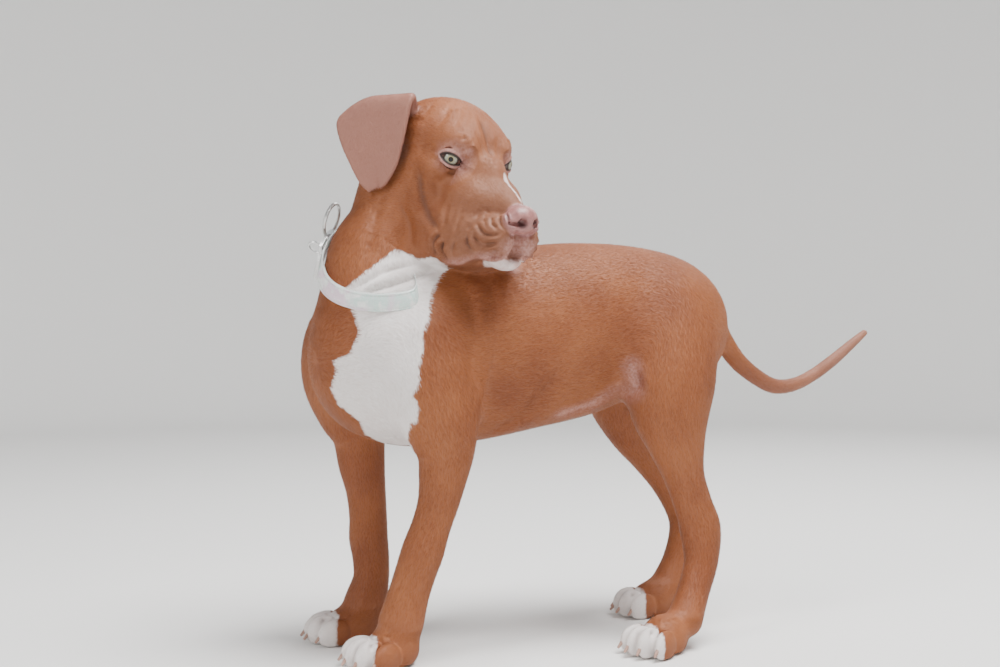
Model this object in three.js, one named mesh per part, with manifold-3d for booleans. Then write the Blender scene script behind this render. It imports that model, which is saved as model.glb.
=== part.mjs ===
// A pit-bull-type puppy, three to four months old, standing with its head turned to its left, in a collar.
// Millimetres, +Z up. The dog faces -Y and its left side is +X. The origin is on the floor, under the
// middle of the model. The body is one implicit form, meshed piece by piece and parted with thin cuts.
import * as THREE from 'three';
import { mergeVertices } from 'three/addons/utils/BufferGeometryUtils.js';
import Module from 'manifold-3d';

const wasm = await Module();
wasm.setup();

// ---------------------------------------------------------------- driving dimensions
const GAP = 0.3;                 // clearance of every cut between two pieces
const ACROSS = new THREE.Vector3(1, 0, 0);

// A station is a place on a limb's centre line, with half its width and half its depth there:
// [x, y, z, half width, half depth].
const TRUNK = [
  [-14, -160, 282, 46, 58], [-17, -142, 283, 62, 80], [-18, -105, 289, 76, 94], [-13, -50, 293, 76, 95],
  [-5, 5, 299, 74, 91], [1, 60, 307, 68, 88], [6, 110, 315, 60, 79], [10, 160, 312, 57, 72],
  [11, 182, 303, 49, 60], [11, 196, 297, 36, 49],
];
const NECK = [
  [-18, -108, 300, 58, 62], [-19, -136, 338, 48, 49], [-25, -137, 371, 46, 49],
  [-26, -121, 402, 42, 45], [-30, -110, 437, 39, 43],
];
const NAPE = [
  [-13, -38, 346, 42, 30], [-20, -66, 374, 38, 32], [-26, -88, 406, 34, 32], [-30, -94, 438, 32, 32],
];
const FORELEG_LEFT = [
  [34, -118, 300, 30, 48], [42, -112, 262, 33, 46], [47, -102, 225, 30, 38], [48, -97, 200, 25, 29],
  [47, -99, 175, 21.5, 24], [45, -103, 150, 19, 20.5], [42, -109, 128, 18, 19.5], [39, -116, 105, 19, 21],
  [36, -122, 85, 18, 20.5], [33, -128, 64, 18.5, 20.5], [30, -134, 40, 21, 22],
];
const FORELEG_RIGHT = [
  [-68, -128, 322, 26, 40], [-77, -143, 298, 33, 47], [-84, -147, 264, 36, 45], [-86, -140, 230, 30, 37], [-86, -133, 205, 24, 28],
  [-85, -130, 175, 21.5, 24.5], [-84, -126, 148, 19, 21], [-83, -124, 122, 18, 20], [-82, -124, 100, 19, 20.5],
  [-81, -122, 82, 18, 19.5], [-80, -122, 60, 18.5, 19], [-79, -128, 38, 21, 22],
];
const HINDLEG_LEFT = [
  [36, 152, 328, 32, 44], [49, 146, 298, 36, 52], [58, 140, 262, 37, 51], [64, 137, 230, 33, 43],
  [69, 141, 198, 25, 31], [72, 148, 165, 19, 22], [74, 158, 135, 16, 21], [76, 165, 110, 16, 23],
  [80, 163, 80, 15, 19], [86, 150, 52, 15.5, 17], [92, 136, 28, 18, 18],
];
const HINDLEG_RIGHT = [
  [-20, 152, 328, 32, 44], [-34, 148, 298, 36, 52], [-46, 149, 262, 37, 50], [-55, 157, 232, 32, 41],
  [-60, 172, 200, 25, 31], [-62, 193, 170, 20, 23], [-62, 215, 143, 17, 21], [-61, 236, 112, 16, 23],
  [-59, 236, 85, 15, 19], [-56, 224, 54, 15.5, 17], [-53, 208, 28, 18, 18],
];
const TAIL = [
  [11, 196, 338, 15, 17], [10, 214, 325, 13, 15], [8, 234, 302, 11, 12], [6, 257, 275, 10, 10.5],
  [4, 284, 256, 9, 9.5], [2, 310, 245, 8.5, 9], [0, 338, 246, 8, 8], [-2, 366, 256, 7, 7.3],
  [-4, 394, 271, 6.4, 6.8], [-5, 420, 288, 5.4, 5.6], [-6, 440, 301, 4, 4],
];
// A paw: middle of the foot on the floor, the way its toes point (degrees outwards), its length and width.
const PAWS = {
  front_left: { x: 30, y: -150, splay: 15, length: 76, width: 60 },
  front_right: { x: -80, y: -150, splay: -8, length: 76, width: 60 },
  hind_left: { x: 100, y: 102, splay: 15, length: 70, width: 54 },
  hind_right: { x: -50, y: 182, splay: -8, length: 70, width: 54 },
};

// The head: the point midway between the eyes, the way it faces and how far the nose is tipped down.
// Places on the head are [forward, left, up] from that point.
const HEAD = { x: 50, y: -60, z: 463, yaw: 106, pitch: 18 };
const EYE = { forward: -10, side: 31, up: 0, radius: 10.5 };
const CLAW = { radius: 2.7, tip: 1.2, length: 14, sides: 8, rise: -1, droop: 48 };
const COLLAR = {
  centre: [-20, -130, 372], slope: [-0.52, 0.213], lift: 20, kick: 12,
  width: 15, thick: 2.2, slack: 2.2, lean: 0.4, sides: 34,
  sinks: { in: [0, 16], out: [80, 110] },
  loops: { turns: [-104, -124], long: 13, bar: 2.4, thick: 2.8 },
  keeper: { turn: -140, size: [9, 12, 5] },
  lead_ring: { radius: 16, wire: 1.7 },
  tag_ring: { radius: 7, wire: 1.3 },
};
// An ear hangs from a fold. Its frame stands at the middle of the fold: one axis runs back along the fold,
// one rises to it from the skull, and one hangs from it. Its stations are
// [from the fold along the rise, down the hang, back along the fold, half width, half thickness].
// The back of the fold droops by as much as EAR_FOLD.droop.
const EAR_FOLD = {
  middle: [-84, 70, 36], edge: [-0.8, 0.45, -0.27], rise: [0.24, 0.86, 0.45], hang: [0.447, -0.076, -0.891],
  droop: 18, faces: 320,
};
const EAR = [
  [-36, 14, 0, 22, 8], [-22, 6, 0, 30, 6], [-8, -1, 1, 37, 4.4], [0, 0, 3, 41, 3.8], [4, 9, 5, 40, 3.4],
  [4, 28, 8, 35, 3.1], [3, 47, 10, 29, 3], [2, 63, 12, 23, 2.8], [1, 75, 15, 16, 2.6], [0, 83, 17, 8, 2.4],
];

// ---------------------------------------------------------------- forms: signed distance of each mass
const radians = THREE.MathUtils.degToRad;
const clamp = THREE.MathUtils.clamp;

/** Smooth union of two distances over the blend width. */
function soften(a, b, width) {
  const h = Math.max(width - Math.abs(a - b), 0) / width;
  return Math.min(a, b) - h * h * width / 4;
}

/** An elliptic cone between two stations, with rounded ends. */
class Segment {
  constructor(a, b, across) {
    this.start = a.at;
    this.axis = b.at.clone().sub(a.at);
    this.length = this.axis.length();
    this.axis.divideScalar(this.length);
    this.side = across.clone().addScaledVector(this.axis, -across.dot(this.axis)).normalize();
    this.front = this.axis.clone().cross(this.side);
    this.from = a;
    this.to = b;
    this.middle = a.at.clone().lerp(b.at, 0.5);
    this.reach = this.length / 2 + Math.max(a.wide, a.deep, b.wide, b.deep);
  }

  distance(p) {
    const x = p.x - this.start.x;
    const y = p.y - this.start.y;
    const z = p.z - this.start.z;
    const along = x * this.axis.x + y * this.axis.y + z * this.axis.z;
    const t = clamp(along / this.length, 0, 1);
    const wide = this.from.wide + t * (this.to.wide - this.from.wide);
    const deep = this.from.deep + t * (this.to.deep - this.from.deep);
    const end = Math.min(wide, deep);
    const u = (x * this.side.x + y * this.side.y + z * this.side.z) / wide;
    const v = (x * this.front.x + y * this.front.y + z * this.front.z) / deep;
    const w = (along - t * this.length) / end;
    const k0 = Math.hypot(u, v, w);
    const k1 = Math.hypot(u / wide, v / deep, w / end);
    return k1 > 0 ? k0 * (k0 - 1) / k1 : -end;
  }
}

/** The stations of a smooth line through the given ones, so many from each to the next. */
function smoothLine(stations, steps) {
  const curve = (points) => new THREE.CatmullRomCurve3(points, false, 'catmullrom');
  const places = curve(stations.map(([x, y, z]) => new THREE.Vector3(x, y, z)));
  const sizes = curve(stations.map(([, , , wide, deep]) => new THREE.Vector3(wide, deep, 0)));
  const count = (stations.length - 1) * steps;
  return Array.from({ length: count + 1 }, (_, i) => {
    const { x: wide, y: deep } = sizes.getPoint(i / count);
    return { at: places.getPoint(i / count), wide, deep };
  });
}

/** A limb: a smooth chain of elliptic cones through its stations. */
class Limb {
  constructor(stations, blend) {
    const rings = smoothLine(stations, 3);
    this.blend = blend;
    this.segments = rings.slice(1).map((ring, i) => new Segment(rings[i], ring, ACROSS));
    this.box = new THREE.Box3();
    for (const segment of this.segments) {
      this.box.union(new THREE.Box3().setFromCenterAndSize(segment.middle,
        new THREE.Vector3().setScalar(segment.reach * 2)));
    }
  }

  distance(p) {
    let nearest = Infinity;
    for (const segment of this.segments) {
      if (p.distanceTo(segment.middle) - segment.reach < nearest) {
        nearest = Math.min(nearest, segment.distance(p));
      }
    }
    return nearest;
  }
}

/** An ellipsoid with its own axes. */
class Blob {
  constructor(centre, radii, turn, blend) {
    this.centre = centre;
    this.radii = radii;
    this.blend = blend;
    this.inverse = new THREE.Matrix4().extractRotation(turn).transpose();
    const reach = Math.max(radii.x, radii.y, radii.z);
    this.box = new THREE.Box3().setFromCenterAndSize(centre, new THREE.Vector3().setScalar(2 * reach));
    this.local = new THREE.Vector3();
  }

  distance(p) {
    const q = this.local.copy(p).sub(this.centre).applyMatrix4(this.inverse).divide(this.radii);
    const k0 = q.length();
    const k1 = q.divide(this.radii).length();
    return k1 > 0 ? k0 * (k0 - 1) / k1 : -Math.min(this.radii.x, this.radii.y, this.radii.z);
  }
}

/** Distance to forms joined in turn, each blended over its own width, less the hollows in them. */
function joined(forms, p, hollows = []) {
  let distance = 1000;
  for (const form of forms) {
    if (form.box.distanceToPoint(p) < distance + form.blend) {
      distance = soften(distance, form.distance(p), form.blend);
    }
  }
  for (const hollow of hollows) {
    if (hollow.box.distanceToPoint(p) < hollow.blend) {
      distance = -soften(-distance, hollow.distance(p), hollow.blend);
    }
  }
  return distance;
}

// ---------------------------------------------------------------- the dog's masses
const headTurn = new THREE.Matrix4();
{
  const yaw = radians(HEAD.yaw);
  const pitch = radians(HEAD.pitch);
  const level = Math.cos(pitch);
  const forward = new THREE.Vector3(Math.sin(yaw) * level, -Math.cos(yaw) * level, -Math.sin(pitch));
  const left = new THREE.Vector3(Math.cos(yaw), Math.sin(yaw), 0);
  headTurn.makeBasis(forward, left, forward.clone().cross(left));
  headTurn.setPosition(HEAD.x, HEAD.y, HEAD.z);
}

/** A place on the head, in the model's frame. */
const onHead = (forward, left, up) => new THREE.Vector3(forward, left, up).applyMatrix4(headTurn);

/** A mass of the head; one off the middle line is made on both sides. */
function headMass(place, radii, blend, tip = 0) {
  const turn = headTurn.clone().multiply(new THREE.Matrix4().makeRotationY(radians(tip)));
  const sides = place[1] === 0 ? [1] : [1, -1];
  return sides.map((side) => new Blob(onHead(place[0], side * place[1], place[2]),
    new THREE.Vector3(...radii), turn, blend));
}

const head = [
  headMass([-56, 0, 9], [56, 51, 41], 16),           // cranium
  headMass([-20, 19, 10], [26, 21, 20], 12),         // brows
  headMass([-3, 26, 14], [13, 11, 7], 6),            // brow ridges
  headMass([-46, 35, -40], [34, 22, 40], 16),        // cheeks
  headMass([-30, 36, -12], [24, 15, 12], 10),        // cheek bones
  headMass([-14, 32, -72], [28, 17, 24], 14),        // jowls
  headMass([8, 20, -34], [30, 17, 23], 12),          // below the eyes
  headMass([0, 0, -6], [26, 20, 17], 12),            // between the eyes
  headMass([16, 0, -28], [50, 20, 21], 14, 7),       // bridge of the muzzle
  headMass([48, 15, -58], [26, 17, 22], 6),          // upper lips
  headMass([12, 27, -66], [36, 17, 28], 12),         // sides of the lips
  headMass([53, 0, -76], [19, 16, 11], 3),           // chin
  headMass([-10, 0, -84], [48, 30, 15], 14),         // lower jaw
  headMass([67, 0, -36], [14, 17, 14], 3),           // nose
  headMass([65, 13, -40], [12, 7, 9], 2),            // wings of the nose
].flat();

/** An ear: a thin flap, drawn as a line that rises from the skull, folds over and hangs, and spread to each
 *  side of that line. side is 1 for the left ear. */
class Flap {
  constructor(side, lowered = 0, laidBack = 0) {
    const aside = ([forward, out, up]) => new THREE.Vector3(forward, side * out, up);
    const [edge, rise, hang] = [EAR_FOLD.edge, EAR_FOLD.rise, EAR_FOLD.hang].map(
      (way) => aside(way).transformDirection(headTurn));
    const middle = aside(EAR_FOLD.middle).applyMatrix4(headTurn);
    Object.assign(this, { edge, hang, middle });
    this.stations = smoothLine(EAR, 9).map(({ at, wide, deep }) => ({
      at: middle.clone().addScaledVector(rise, at.x).addScaledVector(hang, at.y + lowered)
        .addScaledVector(edge, at.z + laidBack),
      wide,
      deep,
    }));
    this.box = new THREE.Box3();
    for (const { at } of this.stations) this.box.expandByPoint(at);
    this.box.expandByScalar(Math.max(...EAR.map((station) => station[3])));
  }

  distance(place) {
    const p = place.clone().sub(this.middle);
    const back = Math.max(p.dot(this.edge), 0);
    p.add(this.middle).addScaledVector(this.hang, -EAR_FOLD.droop * (back / 40) ** 2);
    const step = new THREE.Vector3();
    const off = new THREE.Vector3();
    let nearest = 1000;
    for (let k = 0; k + 1 < this.stations.length; k += 1) {
      const [a, b] = [this.stations[k], this.stations[k + 1]];
      step.subVectors(b.at, a.at);
      off.subVectors(p, a.at);
      const sideways = step.dot(this.edge);
      const run = step.lengthSq() - sideways ** 2 + 1e-9;
      const t = clamp((off.dot(step) - sideways * off.dot(this.edge)) / run, 0, 1);
      off.addScaledVector(step, -t);
      const across = off.dot(this.edge);
      const thick = a.deep + t * (b.deep - a.deep);
      const flat = Math.sqrt(Math.max(off.lengthSq() - across ** 2, 0));
      const beyond = Math.max(Math.abs(across) - a.wide - t * (b.wide - a.wide) + thick, 0);
      nearest = Math.min(nearest, Math.hypot(flat, beyond) - thick);
    }
    return nearest;
  }
}

/** The axes of a paw, and of each of its four toes in turn. */
function pawAxes({ x, y, splay, length, width }) {
  const turn = new THREE.Matrix4().makeTranslation(x, y, 0)
    .multiply(new THREE.Matrix4().makeRotationZ(radians(splay)));
  const ahead = (toe) => length * (Math.abs(toe) < 1 ? 0.27 : 0.17);
  const toes = [-1.5, -0.5, 0.5, 1.5].map((toe) => turn.clone()
    .multiply(new THREE.Matrix4().makeTranslation(toe * width * 0.235, -ahead(toe), 12))
    .multiply(new THREE.Matrix4().makeRotationZ(radians(toe * 9))));
  return { turn, toes };
}

/** The pads and toes of one paw. */
function paw(size) {
  const { turn, toes } = pawAxes(size);
  const blob = (axes, ahead, up, radii, blend) => new Blob(new THREE.Vector3(0, -ahead, up).applyMatrix4(axes),
    new THREE.Vector3(...radii), new THREE.Matrix4().extractRotation(axes), blend);
  return [
    blob(turn, -size.length * 0.12, 15, [size.width * 0.4, size.length * 0.33, 22], 10),
    ...toes.map((toe) => blob(toe, 0, 0, [size.width * 0.138, size.length * 0.25, 15], 2)),
  ];
}

const neckForms = [new Limb(NECK, 28), new Limb(NAPE, 20)];
const flesh = [
  new Limb(TRUNK, 30), ...neckForms, new Limb(TAIL, 14),
  ...[FORELEG_LEFT, FORELEG_RIGHT, HINDLEG_LEFT, HINDLEG_RIGHT].map((leg) => new Limb(leg, 22)),
  ...head, ...Object.values(PAWS).flatMap(paw),
];
const hollows = [
  headMass([81, 7.5, -36], [8, 4, 3.6], 2),          // nostrils
  headMass([76, 0, -70], [12, 8, 4], 3),             // mouth
].flat();
const ears = { left: new Flap(1, 12, 16), right: new Flap(-1) };

// ---------------------------------------------------------------- from forms to meshes
// Every cell of the grid is split into six tetrahedra that share its long diagonal; each is named by the
// order in which the three axes are walked from the cell's low corner to its high one.
const WALKS = [[0, 1, 2], [1, 2, 0], [2, 0, 1], [0, 2, 1], [2, 1, 0], [1, 0, 2]];

/** A closed mesh of the places in the box where the field is below zero, as { points, faces }. */
function surface(field, box, step) {
  const low = box.min.clone().subScalar(step);
  const size = box.max.clone().addScalar(step).sub(low).divideScalar(step).ceil().toArray().map((n) => n + 1);
  const strides = [1, size[0], size[0] * size[1]];
  const values = new Float32Array(size[0] * size[1] * size[2]);
  const p = new THREE.Vector3();
  const placeOf = (index) => {
    const k = Math.floor(index / strides[2]);
    const j = Math.floor((index - k * strides[2]) / strides[1]);
    return p.set(index - k * strides[2] - j * strides[1], j, k).multiplyScalar(step).add(low);
  };
  for (let index = 0; index < values.length; index += 1) {
    placeOf(index);
    const inside = box.containsPoint(p);
    const value = inside ? field(p) : step;
    values[index] = Math.abs(value) < step * 0.05 ? (value < 0 ? -1 : 1) * step * 0.05 : value;
  }
  const points = [];
  const faces = [];
  const made = new Map();
  const crossing = (a, b) => {
    const key = a < b ? a * values.length + b : b * values.length + a;
    if (!made.has(key)) {
      const t = values[a] / (values[a] - values[b]);
      const start = placeOf(a).clone();
      made.set(key, points.push(start.lerp(placeOf(b), t)) - 1);
    }
    return made.get(key);
  };
  for (let k = 0; k + 1 < size[2]; k += 1) {
    for (let j = 0; j + 1 < size[1]; j += 1) {
      for (let i = 0; i + 1 < size[0]; i += 1) {
        const corner = i + j * strides[1] + k * strides[2];
        const high = corner + strides[0] + strides[1] + strides[2];
        let count = 0;
        for (let bits = 0; bits < 8; bits += 1) {
          const at = corner + (bits & 1) * strides[0] + (bits >> 1 & 1) * strides[1]
            + (bits >> 2) * strides[2];
          count += values[at] < 0;
        }
        if (count === 0 || count === 8) continue;
        WALKS.forEach((walk, which) => {
          const first = corner + strides[walk[0]];
          const tet = [corner, first, first + strides[walk[1]], high];
          if (which > 2) [tet[1], tet[2]] = [tet[2], tet[1]];
          const inside = tet.filter((at) => values[at] < 0);
          if (inside.length === 0 || inside.length === 4) return;
          addTetrahedron(tet, values, crossing, faces);
        });
      }
    }
  }
  return { points, faces };
}

/** The one or two triangles that part a tetrahedron's inner corners from its outer ones. */
function addTetrahedron(tet, values, crossing, faces) {
  const within = [0, 1, 2, 3].filter((n) => values[tet[n]] < 0);
  const without = [0, 1, 2, 3].filter((n) => values[tet[n]] >= 0);
  const even = (order) => {
    let swaps = 0;
    for (let a = 0; a < 4; a += 1) {
      for (let b = a + 1; b < 4; b += 1) swaps += order[a] > order[b];
    }
    return swaps % 2 === 0;
  };
  const add = (a, b, c, flip) => faces.push(flip ? [a, c, b] : [a, b, c]);
  if (within.length !== 2) {
    const apex = within.length === 1 ? within[0] : without[0];
    const base = [0, 1, 2, 3].filter((n) => n !== apex);
    const [a, b, c] = base.map((n) => crossing(tet[apex], tet[n]));
    add(a, b, c, even([apex, ...base]) !== (within.length === 1));
    return;
  }
  const [a, b] = within;
  const [c, d] = without;
  const quad = [[a, c], [a, d], [b, d], [b, c]].map(([m, n]) => crossing(tet[m], tet[n]));
  const flip = !even([a, b, c, d]);
  add(quad[0], quad[1], quad[2], flip);
  add(quad[0], quad[2], quad[3], flip);
}


/** Joins the closest corners of a mesh until it has few enough faces, where the form bends least first. */
function simplify({ points, faces }, target) {
  const quadrics = points.map(() => new Float64Array(10));
  const around = points.map(() => new Set());
  const alive = faces.map(() => true);
  const normal = new THREE.Vector3();
  const triangle = new THREE.Triangle();
  const normalOf = ([a, b, c], into) => triangle.set(points[a], points[b], points[c]).getNormal(into);
  faces.forEach((face, f) => {
    normalOf(face, normal);
    const area = triangle.getArea();
    const [a, b, c] = normal.toArray();
    const d = -normal.dot(points[face[0]]);
    const plane = [a * a, a * b, a * c, a * d, b * b, b * c, b * d, c * c, c * d, d * d];
    for (const corner of face) {
      around[corner].add(f);
      plane.forEach((value, n) => { quadrics[corner][n] += value * area; });
    }
  });
  const errorAt = (q, p) => q[0] * p.x * p.x + 2 * q[1] * p.x * p.y + 2 * q[2] * p.x * p.z + 2 * q[3] * p.x
    + q[4] * p.y * p.y + 2 * q[5] * p.y * p.z + 2 * q[6] * p.y + q[7] * p.z * p.z + 2 * q[8] * p.z + q[9];
  const stamp = new Uint32Array(points.length);
  const heap = [];
  const lift = (entry) => {
    let at = heap.push(entry) - 1;
    while (at > 0 && heap[(at - 1) >> 1].cost > entry.cost) {
      heap[at] = heap[(at - 1) >> 1];
      at = (at - 1) >> 1;
    }
    heap[at] = entry;
  };
  const take = () => {
    const top = heap[0];
    const last = heap.pop();
    if (heap.length > 0) {
      let at = 0;
      for (;;) {
        let child = 2 * at + 1;
        if (child >= heap.length) break;
        if (child + 1 < heap.length && heap[child + 1].cost < heap[child].cost) child += 1;
        if (heap[child].cost >= last.cost) break;
        heap[at] = heap[child];
        at = child;
      }
      heap[at] = last;
    }
    return top;
  };
  const sum = new Float64Array(10);
  const offer = (a, b) => {
    for (let n = 0; n < 10; n += 1) sum[n] = quadrics[a][n] + quadrics[b][n];
    let best = null;
    for (const t of [0, 0.25, 0.5, 0.75, 1]) {
      const at = points[a].clone().lerp(points[b], t);
      const cost = errorAt(sum, at);
      if (!best || cost < best.cost) best = { cost, at };
    }
    const long = points[a].distanceToSquared(points[b]);
    lift({ a, b, at: best.at, cost: best.cost + long * long * 1e-5, stamps: [stamp[a], stamp[b]] });
  };
  const ring = (v) => new Set([...around[v]].flatMap((f) => faces[f]).filter((w) => w !== v));
  faces.forEach(([a, b, c]) => {
    for (const [u, v] of [[a, b], [b, c], [c, a]]) {
      if (u < v) offer(u, v);
    }
  });
  let count = faces.length;
  const before = new THREE.Vector3();
  const after = new THREE.Vector3();
  while (count > target && heap.length > 0) {
    const { a, b, at, stamps } = take();
    if (stamps[0] !== stamp[a] || stamps[1] !== stamp[b]) continue;
    const shared = [...around[a]].filter((f) => around[b].has(f));
    const near = ring(b);
    const common = [...ring(a)].filter((v) => near.has(v));
    if (shared.length !== 2 || common.length !== 2) continue;
    const turned = [a, b].some((v) => [...around[v]].some((f) => {
      if (shared.includes(f)) return false;
      normalOf(faces[f], before);
      const moved = faces[f].map((w) => (w === v ? at : points[w]));
      triangle.set(...moved).getNormal(after);
      return before.dot(after) < 0.35 || triangle.getArea() < 1e-4;
    }));
    if (turned) continue;
    points[a].copy(at);
    for (let n = 0; n < 10; n += 1) quadrics[a][n] += quadrics[b][n];
    for (const f of shared) {
      alive[f] = false;
      faces[f].forEach((v) => around[v].delete(f));
    }
    for (const f of around[b]) {
      faces[f] = faces[f].map((v) => (v === b ? a : v));
      around[a].add(f);
    }
    around[b].clear();
    stamp[a] += 1;
    stamp[b] += 1;
    count -= 2;
    for (const v of ring(a)) offer(a, v);
  }
  return { points, faces: faces.filter((_, f) => alive[f]) };
}

// ---------------------------------------------------------------- solids: joins and cuts
/** A solid from a mesh of points and faces. */
function solidOf({ points, faces }) {
  const index = new Map();
  const vertProperties = [];
  const triVerts = faces.flat().map((v) => {
    if (!index.has(v)) {
      index.set(v, index.size);
      vertProperties.push(...points[v].toArray());
    }
    return index.get(v);
  });
  return new wasm.Manifold(new wasm.Mesh({
    numProp: 3, vertProperties: new Float32Array(vertProperties), triVerts: new Uint32Array(triVerts),
  }));
}

/** A solid from a three.js geometry, placed by a matrix. */
function solidFrom(geometry, matrix = new THREE.Matrix4()) {
  const bare = geometry.clone().applyMatrix4(matrix);
  bare.deleteAttribute('normal');
  bare.deleteAttribute('uv');
  const merged = mergeVertices(bare, 1e-5);
  return new wasm.Manifold(new wasm.Mesh({
    numProp: 3,
    vertProperties: new Float32Array(merged.attributes.position.array),
    triVerts: new Uint32Array(merged.index.array),
  }));
}

/** The solid behind a plane: the side that its normal points away from, moved out along it by extra. */
function behind([place, normal], extra = 0) {
  const size = 1600;
  const out = new THREE.Vector3(...normal).normalize();
  const matrix = new THREE.Matrix4().lookAt(out, new THREE.Vector3(), new THREE.Vector3(0.31, 0.2, 0.93));
  matrix.setPosition(new THREE.Vector3(...place).addScaledVector(out, extra - size / 2));
  return solidFrom(new THREE.BoxGeometry(size, size, size), matrix);
}

/** The space behind all of a region's planes, grown by extra. */
const region = (planes, extra = 0) => planes.map((plane) => behind(plane, extra))
  .reduce((a, b) => a.intersect(b));


// ---------------------------------------------------------------- where the pieces part
// A region is a list of planes, each a place and the way that leads out of the region there.
const headDirection = (...way) => new THREE.Vector3(...way).transformDirection(headTurn).toArray();
const headPlane = (place, out) => [onHead(...place).toArray(), headDirection(...out)];
const MIDLINE = { chest: -19, pelvis: 11 };
const ANKLE = 36;

const regions = {
  head: [headPlane([-70, 0, -45], [-0.893, 0, -0.451]), [[10, -50, 388], [-0.584, 0, -0.811]],
    [[0, 12, 0], [0, 1, 0]]],
  muzzle: [headPlane([6, 0, -40], [-1, 0, 0.25]), [[10, -50, 388], [-0.584, 0, -0.811]],
    [[0, 12, 0], [0, 1, 0]]],
  nose: [headPlane([61, 0, -40], [-1, 0, 0]), headPlane([61, 0, -54], [0, 0, -1]), [[0, 12, 0], [0, 1, 0]]],
  neck: [[[-18, -136, 328], [0, 0.3, -0.95]], [[-20, -62, 372], [0, 0.9, -0.44]]],
  tail_base: [[[9, 222, 316], [0, -0.66, 0.75]], [[34, 0, 0], [1, 0, 0]], [[-16, 0, 0], [-1, 0, 0]],
    [[0, 0, 225], [0, 0, -1]]],
  tail_tip: [[[0, 338, 0], [0, -1, 0]]],
  foreleg_left: [[[MIDLINE.chest + 40, 0, 200], [-1, 0, 0.1]], [[46, -100, 222], [0.2, 0, 0.98]],
    [[0, -35, 0], [0, 1, 0]]],
  foreleg_right: [[[MIDLINE.chest - 40, 0, 200], [1, 0, 0.1]], [[-86, -130, 222], [-0.2, 0, 0.98]],
    [[0, -35, 0], [0, 1, 0]]],
  hindleg_left: [[[MIDLINE.pelvis + 6, 0, 0], [-1, 0, 0]], [[50, 150, 300], [0, -0.41, 0.91]],
    [[0, 76, 220], [0, -1, 0.12]]],
  hindleg_right: [[[MIDLINE.pelvis - 6, 0, 0], [1, 0, 0]], [[-30, 150, 300], [0, -0.41, 0.91]],
    [[0, 76, 220], [0, -1, 0.12]]],
  chest: [[[0, 18, 0], [0, 1, 0]]],
  abdomen: [[[0, 112, 0], [0, 1, 0]]],
  rump: [],
};
for (const leg of ['foreleg_left', 'foreleg_right', 'hindleg_left', 'hindleg_right']) {
  regions[leg.replace('leg', 'paw')] = [...regions[leg], [[0, 0, ANKLE], [0, 0, 1]]];
}

// Each piece of flesh: its grid step, how many faces it may have, and what is cut out of its region.
const LEGS = ['foreleg_left', 'foreleg_right', 'hindleg_left', 'hindleg_right'];
const PIECES = {
  nose: { step: 2, faces: 220, without: [] },
  muzzle: { step: 3, faces: 800, without: ['nose'] },
  head: { step: 3, faces: 1000, without: ['muzzle'] },
  neck: { step: 5, faces: 460, without: ['head'] },
  tail_tip: { step: 3, faces: 140, without: [] },
  tail_base: { step: 4, faces: 260, without: ['tail_tip'] },
  ...Object.fromEntries(LEGS.map((leg) => [leg.replace('leg', 'paw'), { step: 2.5, faces: 320, without: [] }])),
  ...Object.fromEntries(LEGS.map((leg) => [leg, {
    step: 4, faces: 420, without: [leg.replace('leg', 'paw'), 'tail_base'],
  }])),
  chest: { step: 7, faces: 820, without: ['head', 'neck', 'foreleg_left', 'foreleg_right'] },
  abdomen: { step: 7, faces: 320, without: ['head', 'chest', 'hindleg_left', 'hindleg_right'] },
  rump: {
    step: 7, faces: 420, without: ['head', 'chest', 'abdomen', 'hindleg_left', 'hindleg_right', 'tail_base'],
  },
};
const FLOOR = [[0, 0, 0], [0, 0, -1]];
const BODY_BOX = new THREE.Box3(new THREE.Vector3(-140, -240, -12), new THREE.Vector3(150, 470, 570));

/** How far a place lies outside a region; below zero inside it. */
function outside(planes, p) {
  let most = -1000;
  for (const [place, out] of planes) {
    const along = (p.x - place[0]) * out[0] + (p.y - place[1]) * out[1] + (p.z - place[2]) * out[2];
    most = Math.max(most, along / Math.hypot(...out));
  }
  return most;
}

/** The largest of the bodies in a solid. */
function largest(solid) {
  return solid.decompose().reduce((best, part) => (part.volume() > best.volume() ? part : best));
}

/** A solid cut back to clear others on every side. */
function cleared(solid, others, gap = 1.5 * GAP) {
  let rest = solid;
  for (const other of others) {
    for (const [x, y, z] of [[0, 0, 0], [1, 0, 0], [-1, 0, 0], [0, 1, 0], [0, -1, 0], [0, 0, 1], [0, 0, -1]]) {
      rest = rest.subtract(other.translate([x * gap, y * gap, z * gap]));
    }
  }
  return largest(rest);
}

/** The flesh inside a region, cut clean at the region's planes and at what it is parted from. */
function piece(name) {
  const { step, faces, without } = PIECES[name];
  const planes = regions[name];
  const spare = 2 * step;
  const field = (p) => {
    const beyond = outside(planes, p) - spare;
    return beyond > spare ? beyond : Math.max(joined(flesh, p, hollows), beyond);
  };
  const rough = simplify(surface(field, BODY_BOX, step), faces);
  let solid = solidOf(rough).intersect(region([...planes, FLOOR]));
  for (const other of without) solid = solid.subtract(region(regions[other], GAP));
  return largest(solid);
}

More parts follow.
